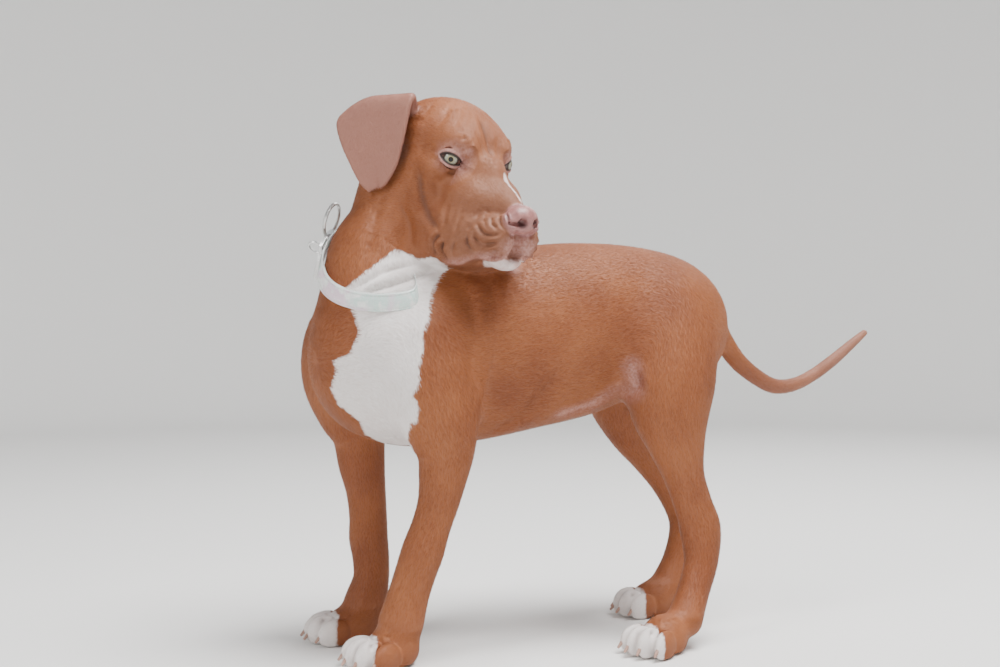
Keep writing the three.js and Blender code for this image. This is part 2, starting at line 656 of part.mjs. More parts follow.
// ---------------------------------------------------------------- eyes, ears and claws
const pieces = Object.fromEntries(Object.keys(PIECES).map((name) => [name, piece(name)]));
const ball = (radius, side) => solidFrom(new THREE.IcosahedronGeometry(radius, 2),
  new THREE.Matrix4().setPosition(onHead(EYE.forward, side * EYE.side, EYE.up)));
for (const [name, side] of [['eye_left', 1], ['eye_right', -1]]) {
  pieces.head = largest(pieces.head.subtract(ball(EYE.radius + GAP, side)));
  pieces[name] = ball(EYE.radius, side);
}
for (const [side, form] of Object.entries(ears)) {
  const flap = solidOf(simplify(surface((p) => form.distance(p), form.box.clone().expandByScalar(4), 3),
    EAR_FOLD.faces));
  pieces[`ear_${side}`] = cleared(flap, [pieces.head, pieces.neck]);
}
for (const [side, size] of Object.entries(PAWS)) {
  const foot = side.replace(/(front|hind)_/, (_, end) => (end === 'front' ? 'forepaw_' : 'hindpaw_'));
  pawAxes(size).toes.forEach((toe, i) => {
    const cone = new THREE.CylinderGeometry(CLAW.tip, CLAW.radius, CLAW.length, CLAW.sides);
    const set = toe.clone().multiply(new THREE.Matrix4().makeTranslation(0, -size.length * 0.225, CLAW.rise))
      .multiply(new THREE.Matrix4().makeRotationX(radians(180 + CLAW.droop)));
    pieces[`claw_${side}_${i + 1}`] = cleared(solidFrom(cone, set), [pieces[foot]]);
  });
}

// ---------------------------------------------------------------- collar
// The collar lies in a sloping plane, low at the throat. It rides up over the nape and at the fittings. On the
// left, under the jaw of the turned head, it sinks between the folds of the neck and lies on the neck itself.
const collarUp = new THREE.Vector3(-COLLAR.slope[0], -COLLAR.slope[1], 1).normalize();
const collarLeft = new THREE.Vector3(0, 1, 0).cross(collarUp).normalize();
const collarAxes = new THREE.Matrix4().makeBasis(collarLeft, collarUp.clone().cross(collarLeft), collarUp)
  .setPosition(...COLLAR.centre);
const ride = (turn) => COLLAR.lift * (0.5 + 0.5 * Math.sin(turn)) ** 3
  + COLLAR.kick * THREE.MathUtils.smoothstep(-Math.cos(turn), 0.2, 0.8);

/** How far the surface of some forms is from the collar's middle, at a turn round it and a height along it. */
function reachOf(forms, turn, height) {
  const p = new THREE.Vector3();
  let reach = 20;
  for (let i = 0; i < 40; i += 1) {
    p.set(Math.cos(turn) * reach, Math.sin(turn) * reach, height + ride(turn)).applyMatrix4(collarAxes);
    reach += (COLLAR.slack - joined(forms, p)) * 0.8;
  }
  return reach;
}
/** How far the collar is sunk under the folds of the neck at a turn: 0 outside them, 1 inside. */
function sunk(turn) {
  const degrees = THREE.MathUtils.euclideanModulo(THREE.MathUtils.radToDeg(turn) + 180, 360) - 180;
  return THREE.MathUtils.smoothstep(degrees, ...COLLAR.sinks.in)
    * (1 - THREE.MathUtils.smoothstep(degrees, ...COLLAR.sinks.out));
}
function neckReach(turn, height) {
  const deep = sunk(turn);
  const outer = deep < 1 ? reachOf(flesh, turn, height) : 0;
  return deep > 0 ? THREE.MathUtils.lerp(outer, reachOf(neckForms, turn, height), deep) : outer;
}
const strapReach = (turn, height) => {
  const low = neckReach(turn, -COLLAR.width / 2);
  const high = Math.max(neckReach(turn, COLLAR.width / 2), low - COLLAR.lean * COLLAR.width);
  return THREE.MathUtils.lerp(low, high, height / COLLAR.width + 0.5);
};

const collarPlace = (turn, reach, height) => new THREE.Vector3(
  Math.cos(turn) * reach, Math.sin(turn) * reach, height + ride(turn)).applyMatrix4(collarAxes);

/** A band that follows the collar round, from one turn to another, as thick as asked. */
function band(from, to, count, width, inner, thick) {
  const whole = to - from > 2 * Math.PI - 1e-6;
  const rings = whole ? count : count + 1;
  const points = [];
  for (let i = 0; i < rings; i += 1) {
    const turn = from + ((to - from) * i) / count;
    for (const [out, side] of [[inner, -1], [inner, 1], [inner + thick, 1], [inner + thick, -1]]) {
      const height = (side * width) / 2;
      const reach = strapReach(turn, height) + out;
      points.push(collarPlace(turn, reach, height));
    }
  }
  const faces = [];
  for (let i = 0; i < count; i += 1) {
    for (let k = 0; k < 4; k += 1) {
      const [a, b] = [4 * i + k, 4 * i + ((k + 1) % 4)];
      const [c, d] = [a, b].map((j) => (j + 4) % (4 * rings));
      faces.push([a, b, c], [b, d, c]);
    }
  }
  if (!whole) {
    const last = 4 * count;
    faces.push([0, 2, 1], [0, 3, 2], [last, last + 1, last + 2], [last, last + 2, last + 3]);
  }
  return solidOf({ points, faces });
}

/** The axes of a fitting that stands on the strap: x along it, y up across it, z outward. */
function onStrap(turn, out, height = 0) {
  const spot = (angle, up) => collarPlace(angle, strapReach(angle, up) + COLLAR.thick + out, up);
  const along = spot(turn + 0.05, height).sub(spot(turn - 0.05, height)).normalize();
  const up = spot(turn, height + 4).sub(spot(turn, height - 4)).normalize();
  const outward = new THREE.Vector3().crossVectors(along, up).normalize();
  return new THREE.Matrix4().makeBasis(along, new THREE.Vector3().crossVectors(outward, along), outward)
    .setPosition(spot(turn, height));
}

// The strap, and the slot that it lies in where it is sunk.
pieces.collar_strap = band(0, 2 * Math.PI, COLLAR.sides, COLLAR.width, 0, COLLAR.thick);
const slot = band(0, 2 * Math.PI, COLLAR.sides, COLLAR.width + 4 * GAP, -2 * GAP, COLLAR.thick + 4 * GAP);
const nearCollar = ['neck', 'head', 'muzzle', 'chest'];
for (const name of nearCollar) pieces[name] = largest(pieces[name].subtract(slot));
const coat = nearCollar.map((name) => pieces[name]);

// Two metal loops and a keeper stand over the strap where it turns round to the dog's right. The keeper
// holds a large ring for a lead, and the loop beside it a small ring for a tag.
const boxOn = (turn, size, out, height = 0) => solidFrom(new THREE.BoxGeometry(...size),
  onStrap(turn, out, height));
const { loops, keeper, lead_ring: leadRing, tag_ring: tagRing } = COLLAR;
loops.turns.map(radians).forEach((turn, i) => {
  const out = loops.thick / 2 + GAP;
  const plate = boxOn(turn, [loops.long, COLLAR.width + 2 * loops.bar, loops.thick], out);
  const hole = boxOn(turn, [loops.long - 2 * loops.bar, COLLAR.width - 2, 3 * loops.thick], out);
  pieces[`collar_loop_${i + 1}`] = cleared(plate.subtract(hole), [pieces.collar_strap, ...coat]);
});
const keeperTurn = radians(keeper.turn);
pieces.collar_keeper = cleared(boxOn(keeperTurn, keeper.size, keeper.size[2] / 2 + GAP),
  [pieces.collar_strap, pieces.collar_loop_2, ...coat]);

const ring = ({ radius, wire }, axes) => solidFrom(new THREE.TorusGeometry(radius, wire, 6, 18), axes);
// The large ring lies flat on the coat over the keeper; the small one stands out edge first.
pieces.collar_lead_ring = cleared(ring(leadRing, onStrap(keeperTurn, 3, COLLAR.width / 2 + leadRing.radius - 5)),
  [pieces.collar_keeper, pieces.collar_strap, pieces.collar_loop_2, ...coat]);
pieces.collar_tag_ring = cleared(ring(tagRing, onStrap(radians(loops.turns[1]), loops.thick + tagRing.radius * 0.9)
  .multiply(new THREE.Matrix4().makeRotationY(radians(90)))),
  [pieces.collar_loop_2, pieces.collar_strap, pieces.collar_lead_ring]);

// ---------------------------------------------------------------- the part
const LOOKS = {
  coat: [0x8a4b30, 0.75], white: [0xd9cdc6, 0.75], nose: [0x8c5550, 0.55], eye: [0x9a9c7c, 0.1],
  claw: [0xb58f80, 0.5], strap: [0xc9d6cf, 0.45], metal: [0xb8bbc0, 0.3],
};
const looksOf = (name) => {
  if (name === 'nose') return 'nose';
  if (name.startsWith('collar')) return name.endsWith('strap') ? 'strap' : 'metal';
  return ['eye', 'claw'].find((kind) => name.startsWith(kind)) ?? (/paw/.test(name) ? 'white' : 'coat');
};

const bounds = new THREE.Box3();
for (const solid of Object.values(pieces)) {
  const { min, max } = solid.boundingBox();
  bounds.expandByPoint(new THREE.Vector3(...min)).expandByPoint(new THREE.Vector3(...max));
}
const origin = bounds.getCenter(new THREE.Vector3()).setZ(bounds.min.z);

const group = new THREE.Group();
group.name = 'puppy';
for (const [name, solid] of Object.entries(pieces)) {
  const { vertProperties, triVerts } = solid.getMesh();
  const geometry = new THREE.BufferGeometry();
  geometry.setAttribute('position', new THREE.BufferAttribute(vertProperties, 3));
  geometry.setIndex(new THREE.BufferAttribute(triVerts, 1));
  geometry.translate(...origin.clone().negate().toArray());
  const [color, roughness] = LOOKS[looksOf(name)];
  const mesh = new THREE.Mesh(geometry, new THREE.MeshStandardMaterial({ color, roughness }));
  mesh.name = name;
  group.add(mesh);
}

export default group;
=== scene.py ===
import copy
import math
import bpy
import numpy as np
import openvdb
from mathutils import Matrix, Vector


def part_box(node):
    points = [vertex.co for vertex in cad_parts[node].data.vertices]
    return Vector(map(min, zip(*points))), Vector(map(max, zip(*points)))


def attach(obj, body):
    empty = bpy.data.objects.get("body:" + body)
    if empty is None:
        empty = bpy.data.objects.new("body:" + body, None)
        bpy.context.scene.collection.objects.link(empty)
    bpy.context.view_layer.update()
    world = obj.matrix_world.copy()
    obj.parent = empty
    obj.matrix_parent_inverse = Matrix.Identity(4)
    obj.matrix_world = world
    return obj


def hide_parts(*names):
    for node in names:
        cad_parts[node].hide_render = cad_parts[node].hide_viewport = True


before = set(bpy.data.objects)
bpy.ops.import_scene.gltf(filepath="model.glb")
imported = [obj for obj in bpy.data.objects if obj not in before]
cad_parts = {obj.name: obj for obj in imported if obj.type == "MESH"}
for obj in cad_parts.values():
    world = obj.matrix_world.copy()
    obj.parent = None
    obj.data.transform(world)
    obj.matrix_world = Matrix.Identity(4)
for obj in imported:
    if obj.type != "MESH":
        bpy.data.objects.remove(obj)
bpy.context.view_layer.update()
scene = bpy.context.scene

# ---------------------------------------------------------------- flesh
# A puppy's body is muscle over bone under one loose skin, so its form is worked out first as a field: rounded
# lengths of limb and rounded lumps of muscle, softly joined. Lengths are millimetres here, -Y is ahead and +X
# is the dog's left. A station is a place and the half width and half depth of the body there.
TRUNK = [
    (-14, -160, 282, 46, 58), (-17, -142, 283, 62, 80), (-18, -105, 289, 76, 94), (-13, -50, 293, 76, 95),
    (-5, 5, 299, 74, 91), (1, 60, 307, 68, 88), (6, 110, 315, 60, 79), (10, 160, 312, 57, 72),
    (11, 182, 303, 49, 60), (11, 196, 297, 36, 49)]
NECK = [
    (-18, -108, 300, 58, 62), (-19, -136, 338, 48, 49), (-25, -137, 371, 46, 49), (-26, -121, 402, 42, 45),
    (-30, -110, 437, 39, 43)]
NAPE = [
    (-13, -38, 346, 42, 30), (-20, -66, 374, 38, 32), (-26, -88, 406, 34, 32), (-30, -94, 438, 32, 32)]
FORELEG_LEFT = [
    (34, -118, 300, 30, 48), (42, -112, 262, 33, 46), (47, -102, 225, 30, 38), (48, -97, 200, 25, 29),
    (47, -99, 175, 21.5, 24), (45, -103, 150, 19, 20.5), (42, -109, 128, 18, 19.5), (39, -116, 105, 19, 21),
    (36, -122, 85, 18, 20.5), (33, -128, 64, 18.5, 20.5), (30, -134, 40, 21, 22)]
FORELEG_RIGHT = [
    (-68, -128, 322, 26, 40), (-77, -143, 298, 33, 47), (-84, -147, 264, 36, 45), (-86, -140, 230, 30, 37),
    (-86, -133, 205, 24, 28), (-85, -130, 175, 21.5, 24.5), (-84, -126, 148, 19, 21),
    (-83, -124, 122, 18, 20), (-82, -124, 100, 19, 20.5), (-81, -122, 82, 18, 19.5),
    (-80, -122, 60, 18.5, 19), (-79, -128, 38, 21, 22)]
HINDLEG_LEFT = [
    (36, 152, 328, 32, 44), (49, 146, 298, 36, 52), (58, 140, 262, 37, 51), (64, 137, 230, 33, 43),
    (69, 141, 198, 25, 31), (72, 148, 165, 19, 22), (74, 158, 135, 16, 21), (76, 165, 110, 16, 23),
    (80, 163, 80, 15, 19), (86, 150, 52, 15.5, 17), (92, 136, 28, 18, 18)]
HINDLEG_RIGHT = [
    (-20, 152, 328, 32, 44), (-34, 148, 298, 36, 52), (-46, 149, 262, 37, 50), (-55, 157, 232, 32, 41),
    (-60, 172, 200, 25, 31), (-62, 193, 170, 20, 23), (-62, 215, 143, 17, 21), (-61, 236, 112, 16, 23),
    (-59, 236, 85, 15, 19), (-56, 224, 54, 15.5, 17), (-53, 208, 28, 18, 18)]
TAIL = [
    (11, 196, 338, 15, 17), (10, 214, 325, 13, 15), (8, 234, 302, 11, 12), (6, 257, 275, 10, 10.5),
    (4, 284, 256, 9, 9.5), (2, 310, 245, 8.5, 9), (0, 338, 246, 8, 8), (-2, 366, 256, 7, 7.3),
    (-4, 394, 271, 6.4, 6.8), (-5, 420, 288, 5.4, 5.6), (-6, 440, 301, 4, 4)]
PAWS = {"front_left": (30, -150, 15, 76, 60), "front_right": (-80, -150, -8, 76, 60),
        "hind_left": (100, 102, 15, 70, 54), "hind_right": (-50, 182, -8, 70, 54)}
HEAD_MIDDLE = np.array((50.0, -60.0, 463.0))
HEAD_YAW, HEAD_PITCH = math.radians(106), math.radians(18)
ASIDE = np.array((math.cos(HEAD_YAW), math.sin(HEAD_YAW), 0))
FORWARD = np.cross(ASIDE, (0, 0, 1)) * math.cos(HEAD_PITCH) - (0, 0, math.sin(HEAD_PITCH))
HEAD_TURN = np.column_stack((FORWARD, ASIDE, np.cross(FORWARD, ASIDE)))
EYE_FORWARD, EYE_SIDE, EYE_RADIUS = -10, 31, 10.5
GAZE, LID_REACH, LID_RISE, LID_DROP, LID_LIFT = (0.8, 0.58, 0.08), 1.28, 0.50, 0.42, 0.35
EAR_MIDDLE, EAR_EDGE, EAR_DROOP = (-84, 70, 36), (-0.8, 0.45, -0.27), 18
EAR_RISE, EAR_HANG = (0.24, 0.86, 0.45), (0.447, -0.076, -0.891)
EAR = [
    (-36, 14, 0, 22, 8), (-22, 6, 0, 30, 6), (-8, -1, 1, 37, 4.4), (0, 0, 3, 41, 3.8), (4, 9, 5, 40, 3.4),
    (4, 28, 8, 35, 3.1), (3, 47, 10, 29, 3), (2, 63, 12, 23, 2.8), (1, 75, 15, 16, 2.6), (0, 83, 17, 8, 2.4)]


# A form further off than the margin no longer matters to the flesh at a place.
MARGIN, FLOOR_GAP = 16, 0.3
TOE_GAP = 0.235


def lengths(vectors):
    return np.linalg.norm(vectors, axis=1)


def within(places, middle, reach):
    """Which of the places lie within reach of a middle."""
    return np.flatnonzero(((places - middle) ** 2).sum(1) < reach ** 2)


def smooth_line(points, count):
    """Count + 1 places along a smooth line through the points."""
    points = np.asarray(points, float)
    ends = [2 * points[0] - points[1], *points, 2 * points[-1] - points[-2]]
    along = np.linspace(0, len(points) - 1, count + 1)
    first = np.minimum(along.astype(int), len(points) - 2)
    t = (along - first)[:, None]
    a, b, c, d = (np.array(ends)[first + k] for k in range(4))
    bend, twist = 2 * a - 5 * b + 4 * c - d, 3 * b - a - 3 * c + d
    return b + t * (c - a) / 2 + t * t * bend / 2 + t ** 3 * twist / 2


def on_head(place):
    return HEAD_MIDDLE + np.asarray(place, float) @ HEAD_TURN.T


class Limb:
    """A chain of elliptic cones through stations, and the way the coat lies along it."""

    def __init__(self, stations, blend, across=(1, 0, 0), steps=6, lie=1):
        line = smooth_line(stations, (len(stations) - 1) * steps)
        self.blend = blend
        self.parts = []
        for a, b in zip(line, line[1:]):
            axis = b[:3] - a[:3]
            length = np.linalg.norm(axis)
            axis = axis / length
            side = np.array(across, float) - axis * np.dot(across, axis)
            side /= np.linalg.norm(side)
            self.parts.append((a, b, axis, length, side, np.cross(axis, side), (a[:3] + b[:3]) / 2,
                               length / 2 + max(a[3:].max(), b[3:].max()), axis * lie))

    def distance(self, places, margin):
        nearest = np.full(len(places), 1000, np.float32)
        for a, b, axis, length, side, front, middle, reach, _ in self.parts:
            near = within(places, middle, reach + margin)
            if len(near):
                p = places[near] - a[:3]
                along = p @ axis
                t = np.clip(along / length, 0, 1)
                wide, deep = a[3] + t * (b[3] - a[3]), a[4] + t * (b[4] - a[4])
                end = np.minimum(wide, deep)
                u, v, w = p @ side / wide, p @ front / deep, (along - t * length) / end
                k0 = np.sqrt(u * u + v * v + w * w)
                k1 = np.sqrt((u / wide) ** 2 + (v / deep) ** 2 + (w / end) ** 2) + 1e-9
                nearest[near] = np.minimum(nearest[near], k0 * (k0 - 1) / k1)
        return nearest

    def lie_at(self, places):
        """Distance, and the way the coat lies at the nearest part."""
        nearest, way = np.full(len(places), 1000.0), np.zeros((len(places), 3))
        for a, _, axis, length, _, _, middle, reach, lie in self.parts:
            near = within(places, middle, reach + MARGIN)
            off = places[near] - a[:3]
            along = off @ axis
            off = lengths(off - np.clip(along, 0, length)[:, None] * axis) - min(a[3], a[4])
            closer = off < nearest[near]
            nearest[near[closer]], way[near[closer]] = off[closer], lie
        return nearest, way


class Lump:
    """An ellipsoid on axes of its own."""

    def __init__(self, centre, radii, turn, blend):
        self.centre, self.radii = np.asarray(centre, float), np.asarray(radii, float)
        self.turn, self.blend, self.reach = turn, blend, max(radii)

    def distance(self, places, margin):
        distance = np.full(len(places), 1000, np.float32)
        near = within(places, self.centre, self.reach + margin)
        q = (places[near] - self.centre) @ self.turn / self.radii
        k0 = np.sqrt((q * q).sum(1))
        k1 = np.sqrt(((q / self.radii) ** 2).sum(1)) + 1e-9
        distance[near] = k0 * (k0 - 1) / k1
        return distance


def head_lump(place, radii, blend, tip=0):
    """A mass of the head, twice over if it lies to one side. Tip turns its front end down, in degrees."""
    t = math.radians(tip)
    tilt = np.array(((math.cos(t), 0, math.sin(t)), (0, 1, 0), (-math.sin(t), 0, math.cos(t))))
    sides = (1, -1) if place[1] else (1,)
    return [Lump(on_head((place[0], place[1] * s, place[2])), radii, HEAD_TURN @ tilt, blend) for s in sides]


class Flap:
    """A thin ear, drawn as a line that rises, folds over and hangs, and spread to each side of that line."""

    def __init__(self, side, lowered=0, laid_back=0):
        self.blend = 4
        self.edge, rise, hang = (HEAD_TURN @ (np.array(v) * (1, side, 1)) / np.linalg.norm(v)
                                 for v in (EAR_EDGE, EAR_RISE, EAR_HANG))
        self.middle, self.hang = on_head(np.array(EAR_MIDDLE) * (1, side, 1)), hang
        line = smooth_line(EAR, (len(EAR) - 1) * 9)
        self.wide, self.thick = line[:, 3], line[:, 4]
        self.line = (self.middle + line[:, :1] * rise + (line[:, 1:2] + lowered) * hang
                     + (line[:, 2:3] + laid_back) * self.edge)
        self.centre, self.reach = self.line[40], 74

    def distance(self, places, margin):
        distance = np.full(len(places), 1000, np.float32)
        near = within(places, self.centre, self.reach + margin)
        if len(near):
            back = np.maximum((places[near] - self.middle) @ self.edge, 0)
            p = places[near] - EAR_DROOP * (back[:, None] / 40) ** 2 * self.hang
            p = p[:, None] - self.line[None, :-1]
            step = np.diff(self.line, axis=0)
            flat_step = step - (step @ self.edge)[:, None] * self.edge
            t = np.clip(((p * flat_step).sum(2)) / ((flat_step ** 2).sum(1) + 1e-9), 0, 1)
            off = p - t[..., None] * step
            across = (off * self.edge).sum(2)
            wide = self.wide[:-1] + t * np.diff(self.wide)
            thick = self.thick[:-1] + t * np.diff(self.thick)
            flat = np.sqrt(np.maximum((off ** 2).sum(2) - across ** 2, 0))
            beyond = np.maximum(np.abs(across) - wide + thick, 0)
            distance[near] = (np.sqrt(flat ** 2 + beyond ** 2) - thick).min(1)
        return distance


def turned(degrees):
    """A turn about the upright axis."""
    c, s = math.cos(math.radians(degrees)), math.sin(math.radians(degrees))
    return np.array(((c, -s, 0), (s, c, 0), (0, 0, 1)))


def paw(x, y, splay, length, width):
    """A pad and four toes."""
    foot, turn = np.array((x, y, 0)), turned(splay)
    lumps = [Lump(foot + turn @ (0, length * 0.12, 15), (width * 0.4, length * 0.33, 22), turn, 10)]
    for toe in (-1.5, -0.5, 0.5, 1.5):
        at = foot + turn @ (toe * width * TOE_GAP, -length * (0.27 if abs(toe) < 1 else 0.17), 12)
        lumps.append(Lump(at, (width * 0.138, length * 0.25, 15), turned(splay + toe * 9), 2))
    return lumps


EARS = [Flap(1, 19, 16), Flap(-1)]
HEAD_MASSES = [
    ((-56, 0, 9), (56, 51, 41), 16),  # cranium
    ((-20, 19, 10), (26, 21, 20), 12),  # brows
    ((-3, 26, 14), (13, 11, 7), 6),  # brow ridges
    ((-46, 35, -40), (34, 22, 40), 16),  # cheeks
    ((-30, 36, -12), (24, 15, 12), 10),  # cheek bones
    ((8, 20, -34), (30, 17, 23), 12),  # below the eyes
    ((0, 0, -6), (26, 20, 17), 12),  # between the eyes
    ((-14, 32, -72), (28, 17, 24), 14),  # jowls
    ((16, 0, -28), (50, 20, 21), 14, 7),  # bridge of the nose
    ((48, 15, -58), (26, 17, 22), 6),  # upper lips
    ((12, 27, -66), (36, 17, 28), 12),  # sides of the lips
    ((53, 0, -76), (19, 16, 11), 3),  # chin
    ((-10, 0, -84), (48, 30, 15), 14),  # lower jaw
    ((67, 0, -36), (14, 17, 14), 3),  # nose
    ((65, 13, -40), (12, 7, 9), 2)]  # wings of the nose
HEAD = [lump for mass in HEAD_MASSES for lump in head_lump(*mass)]
FLESH = [Limb(TRUNK, 30), Limb(NECK, 28, lie=-1), Limb(NAPE, 20, lie=-1), Limb(FORELEG_LEFT, 22),
         Limb(FORELEG_RIGHT, 22), Limb(HINDLEG_LEFT, 22), Limb(HINDLEG_RIGHT, 22), Limb(TAIL, 14), *HEAD,
         *(lump for size in PAWS.values() for lump in paw(*size)), *EARS]
HOLLOWS = [*head_lump((81, 7.5, -36), (8, 4, 3.6), 2), *head_lump((76, 14, -39), (7, 5, 1.6), 2),
           *head_lump((76, 0, -70), (12, 8, 4), 3)]


def soft_union(a, b, width):
    h = np.maximum(width - np.abs(a - b), 0) / width
    return np.minimum(a, b) - h * h * width / 4


def flesh_at(places, forms=FLESH, margin=MARGIN, hollows=HOLLOWS):
    """How far places lie outside the flesh; below zero inside it."""
    places = np.asarray(places, np.float32)
    distance = np.full(len(places), 1000, np.float32)
    for form in forms:
        distance = soft_union(distance, form.distance(places, form.blend + margin), form.blend)
    for hollow in hollows:
        distance = -soft_union(-distance, hollow.distance(places, hollow.blend + MARGIN), hollow.blend)
    return -soft_union(-distance, places[:, 2] - FLOOR_GAP, 4)


def near_forms(middle, radius):
    """The forms cut down to what can matter within a radius of a place."""
    kept = []
    for form in FLESH:
        reach = radius + form.blend + MARGIN
        if isinstance(form, Limb):
            parts = [p for p in form.parts if np.linalg.norm(p[6] - middle) < p[7] + reach]
            if parts:
                kept.append(copy.copy(form))
                kept[-1].parts = parts
        elif np.linalg.norm(form.centre - middle) < form.reach + reach:
            kept.append(form)
    return kept


FAR_OFF, HALF_DIAGONAL = 30.0, 0.87


def skin_mesh(low, high, step, block=24):
    """A closed mesh of the surface, block by block of a grid, as places and triangles."""
    counts = np.ceil((np.array(high) - low) / step / block).astype(int) * block
    field = np.full(counts, FAR_OFF, np.float32)
    local = np.stack(np.meshgrid(*[np.arange(block) * step] * 3, indexing="ij"), -1).reshape(-1, 3)
    for corner in np.ndindex(*(counts // block)):
        start = np.array(low) + np.array(corner) * block * step
        middle = start + block * step / 2
        radius = block * step * HALF_DIAGONAL
        forms = near_forms(middle, radius)
        if not forms:
            continue
        here = float(flesh_at(middle[None], near_forms(middle, radius * 2), 140)[0])
        cut = tuple(slice(c * block, (c + 1) * block) for c in corner)
        if abs(here) > radius * 1.6:
            field[cut] = np.sign(here) * FAR_OFF
        else:
            field[cut] = flesh_at(local + start, forms).reshape(block, block, block)
    grid = openvdb.FloatGrid(background=FAR_OFF)
    grid.copyFromArray(field)
    points, quads = grid.convertToQuads(isovalue=0)
    points = (points * step + low).astype(np.float64)
    return points, np.concatenate((quads[:, (0, 1, 2)], quads[:, (0, 2, 3)])).astype(np.int64)


# ---------------------------------------------------------------- skin
# One loose skin over the whole puppy, from nose to tail. It is cut finely where it has small shapes to show,
# and lies under the tips of the coat by the coat's own depth, which is least on the ears, face and feet.
HEAD_REACH = 118


def ramp(value, low, high):
    """0 at low and beyond, 1 at high and beyond, and a straight run from one to the other."""
    return np.clip((value - low) / (high - low), 0, 1)


def ease(value, low, high):
    """A ramp with soft ends."""
    t = ramp(value, low, high)
    return t * t * (3 - 2 * t)


def unit(vectors):
    return vectors / (np.linalg.norm(vectors, axis=-1, keepdims=True) + 1e-12)


def head_places(places):
    return (places - HEAD_MIDDLE) @ HEAD_TURN


def eye_place(side):
    return on_head((EYE_FORWARD, EYE_SIDE * side, 0))


def of_head(places):
    """Whether places are nearer to the head than to the trunk."""
    near = within(places, on_head((-5, 0, -25)), HEAD_REACH)
    nearer = np.zeros(len(places), bool)
    masses = np.min([lump.distance(places[near], 30) for lump in HEAD], axis=0)
    nearer[near] = masses < FLESH[0].distance(places[near], 30)
    return nearer


def ear_distance(places):
    return np.minimum(*(ear.distance(places, 12) for ear in EARS))


def depth_of_coat(places):
    on_face = ramp(head_places(places)[:, 0], -70, -10) * of_head(places)
    low, on_tail = ramp(places[:, 2], 60, 20), ramp(places[:, 1], 330, 390)
    short = np.maximum(np.maximum(on_face, low), on_tail)
    return np.where(ear_distance(places) < 4, 0.5, 1.2 - 0.7 * short) * ramp(places[:, 2], 0, 4)


def edge_goal(places):
    """How long the skin's edges may be, by place."""
    head = head_places(places)
    goal = np.full(len(places), 4.6)
    goal[lengths(head - (-20, 0, -20)) < HEAD_REACH] = 1.9
    goal[(head[:, 0] > -40) & (lengths(head - (30, 0, -45)) < 74)] = 1.25
    for side in (1, -1):
        goal[lengths(head - (EYE_FORWARD + 4, side * (EYE_SIDE + 4), 0)) < 17] = 0.7
    goal[places[:, 2] < 40] = 2.0
    goal[places[:, 1] > 330] = 2.4
    return goal


def split_long(points, faces, goal):
    """Splits every edge longer than the goal at its middle, once."""
    corners = np.sort(faces[:, [[0, 1], [1, 2], [2, 0]]].reshape(-1, 2), 1)
    edges, which = np.unique(corners, axis=0, return_inverse=True)
    which = which.reshape(-1, 3)
    middles = points[edges].mean(1)
    long = lengths(points[edges[:, 0]] - points[edges[:, 1]]) > goal(middles)
    fresh = np.full(len(edges), -1)
    fresh[long] = len(points) + np.arange(long.sum())
    cut = fresh[which]
    made = [faces[(cut < 0).all(1)]]
    for turn in range(3):
        a, b, c = (faces[:, (turn + k) % 3] for k in range(3))
        ab, bc, ca = (cut[:, (turn + k) % 3] for k in range(3))
        one = (ab >= 0) & (bc < 0) & (ca < 0)
        made += [np.stack(f, 1)[one] for f in ((a, ab, c), (ab, b, c))]
        two = (ab >= 0) & (bc >= 0) & (ca < 0)
        made += [np.stack(f, 1)[two] for f in ((ab, b, bc), (a, ab, bc), (a, bc, c))]
    a, b, c, ab, bc, ca = *faces.T, *cut.T
    three = (cut >= 0).all(1)
    made += [np.stack(f, 1)[three] for f in ((a, ab, ca), (ab, b, bc), (ca, bc, c), (ab, bc, ca))]
    return np.concatenate((points, middles[long])), np.concatenate(made)


def outward(points, faces):
    """The skin's direction outward at each of its points."""
    a, b, c = points[faces.T]
    across = np.cross(b - a, c - a)
    normals = np.zeros_like(points)
    for k in range(3):
        for axis in range(3):
            normals[:, axis] += np.bincount(faces[:, k], across[:, axis], len(points))
    return normals / (np.linalg.norm(normals, axis=1, keepdims=True) + 1e-12)


def settle(points, faces, times=2):
    """Evens out the triangles, then brings every point to the skin's own depth."""
    for _ in range(times):
        total, count = np.zeros_like(points), np.bincount(faces.ravel(), minlength=len(points)) * 2.0
        for a, b, c in ((0, 1, 2), (1, 2, 0), (2, 0, 1)):
            for axis in range(3):
                both = points[faces[:, b], axis] + points[faces[:, c], axis]
                total[:, axis] += np.bincount(faces[:, a], both, len(points))
        points = points + 0.4 * (total / count[:, None] - points)
        off = flesh_at(points) + depth_of_coat(points)
        points = points - outward(points, faces) * np.clip(off, -1.5, 1.5)[:, None] * 0.9
    return points


# The body's own millimetres run from another corner than the frame does; the left eye is in both.
CORNER = eye_place(1) - np.mean(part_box("eye_left"), axis=0) * 1000

skin_points, skin_faces = skin_mesh((-132, -216, -6), (140, 450, 542), 3.0)
skin_points = settle(skin_points, skin_faces)
for _ in range(3):
    skin_points, skin_faces = split_long(skin_points, skin_faces, edge_goal)
    skin_points = settle(skin_points, skin_faces, 1)

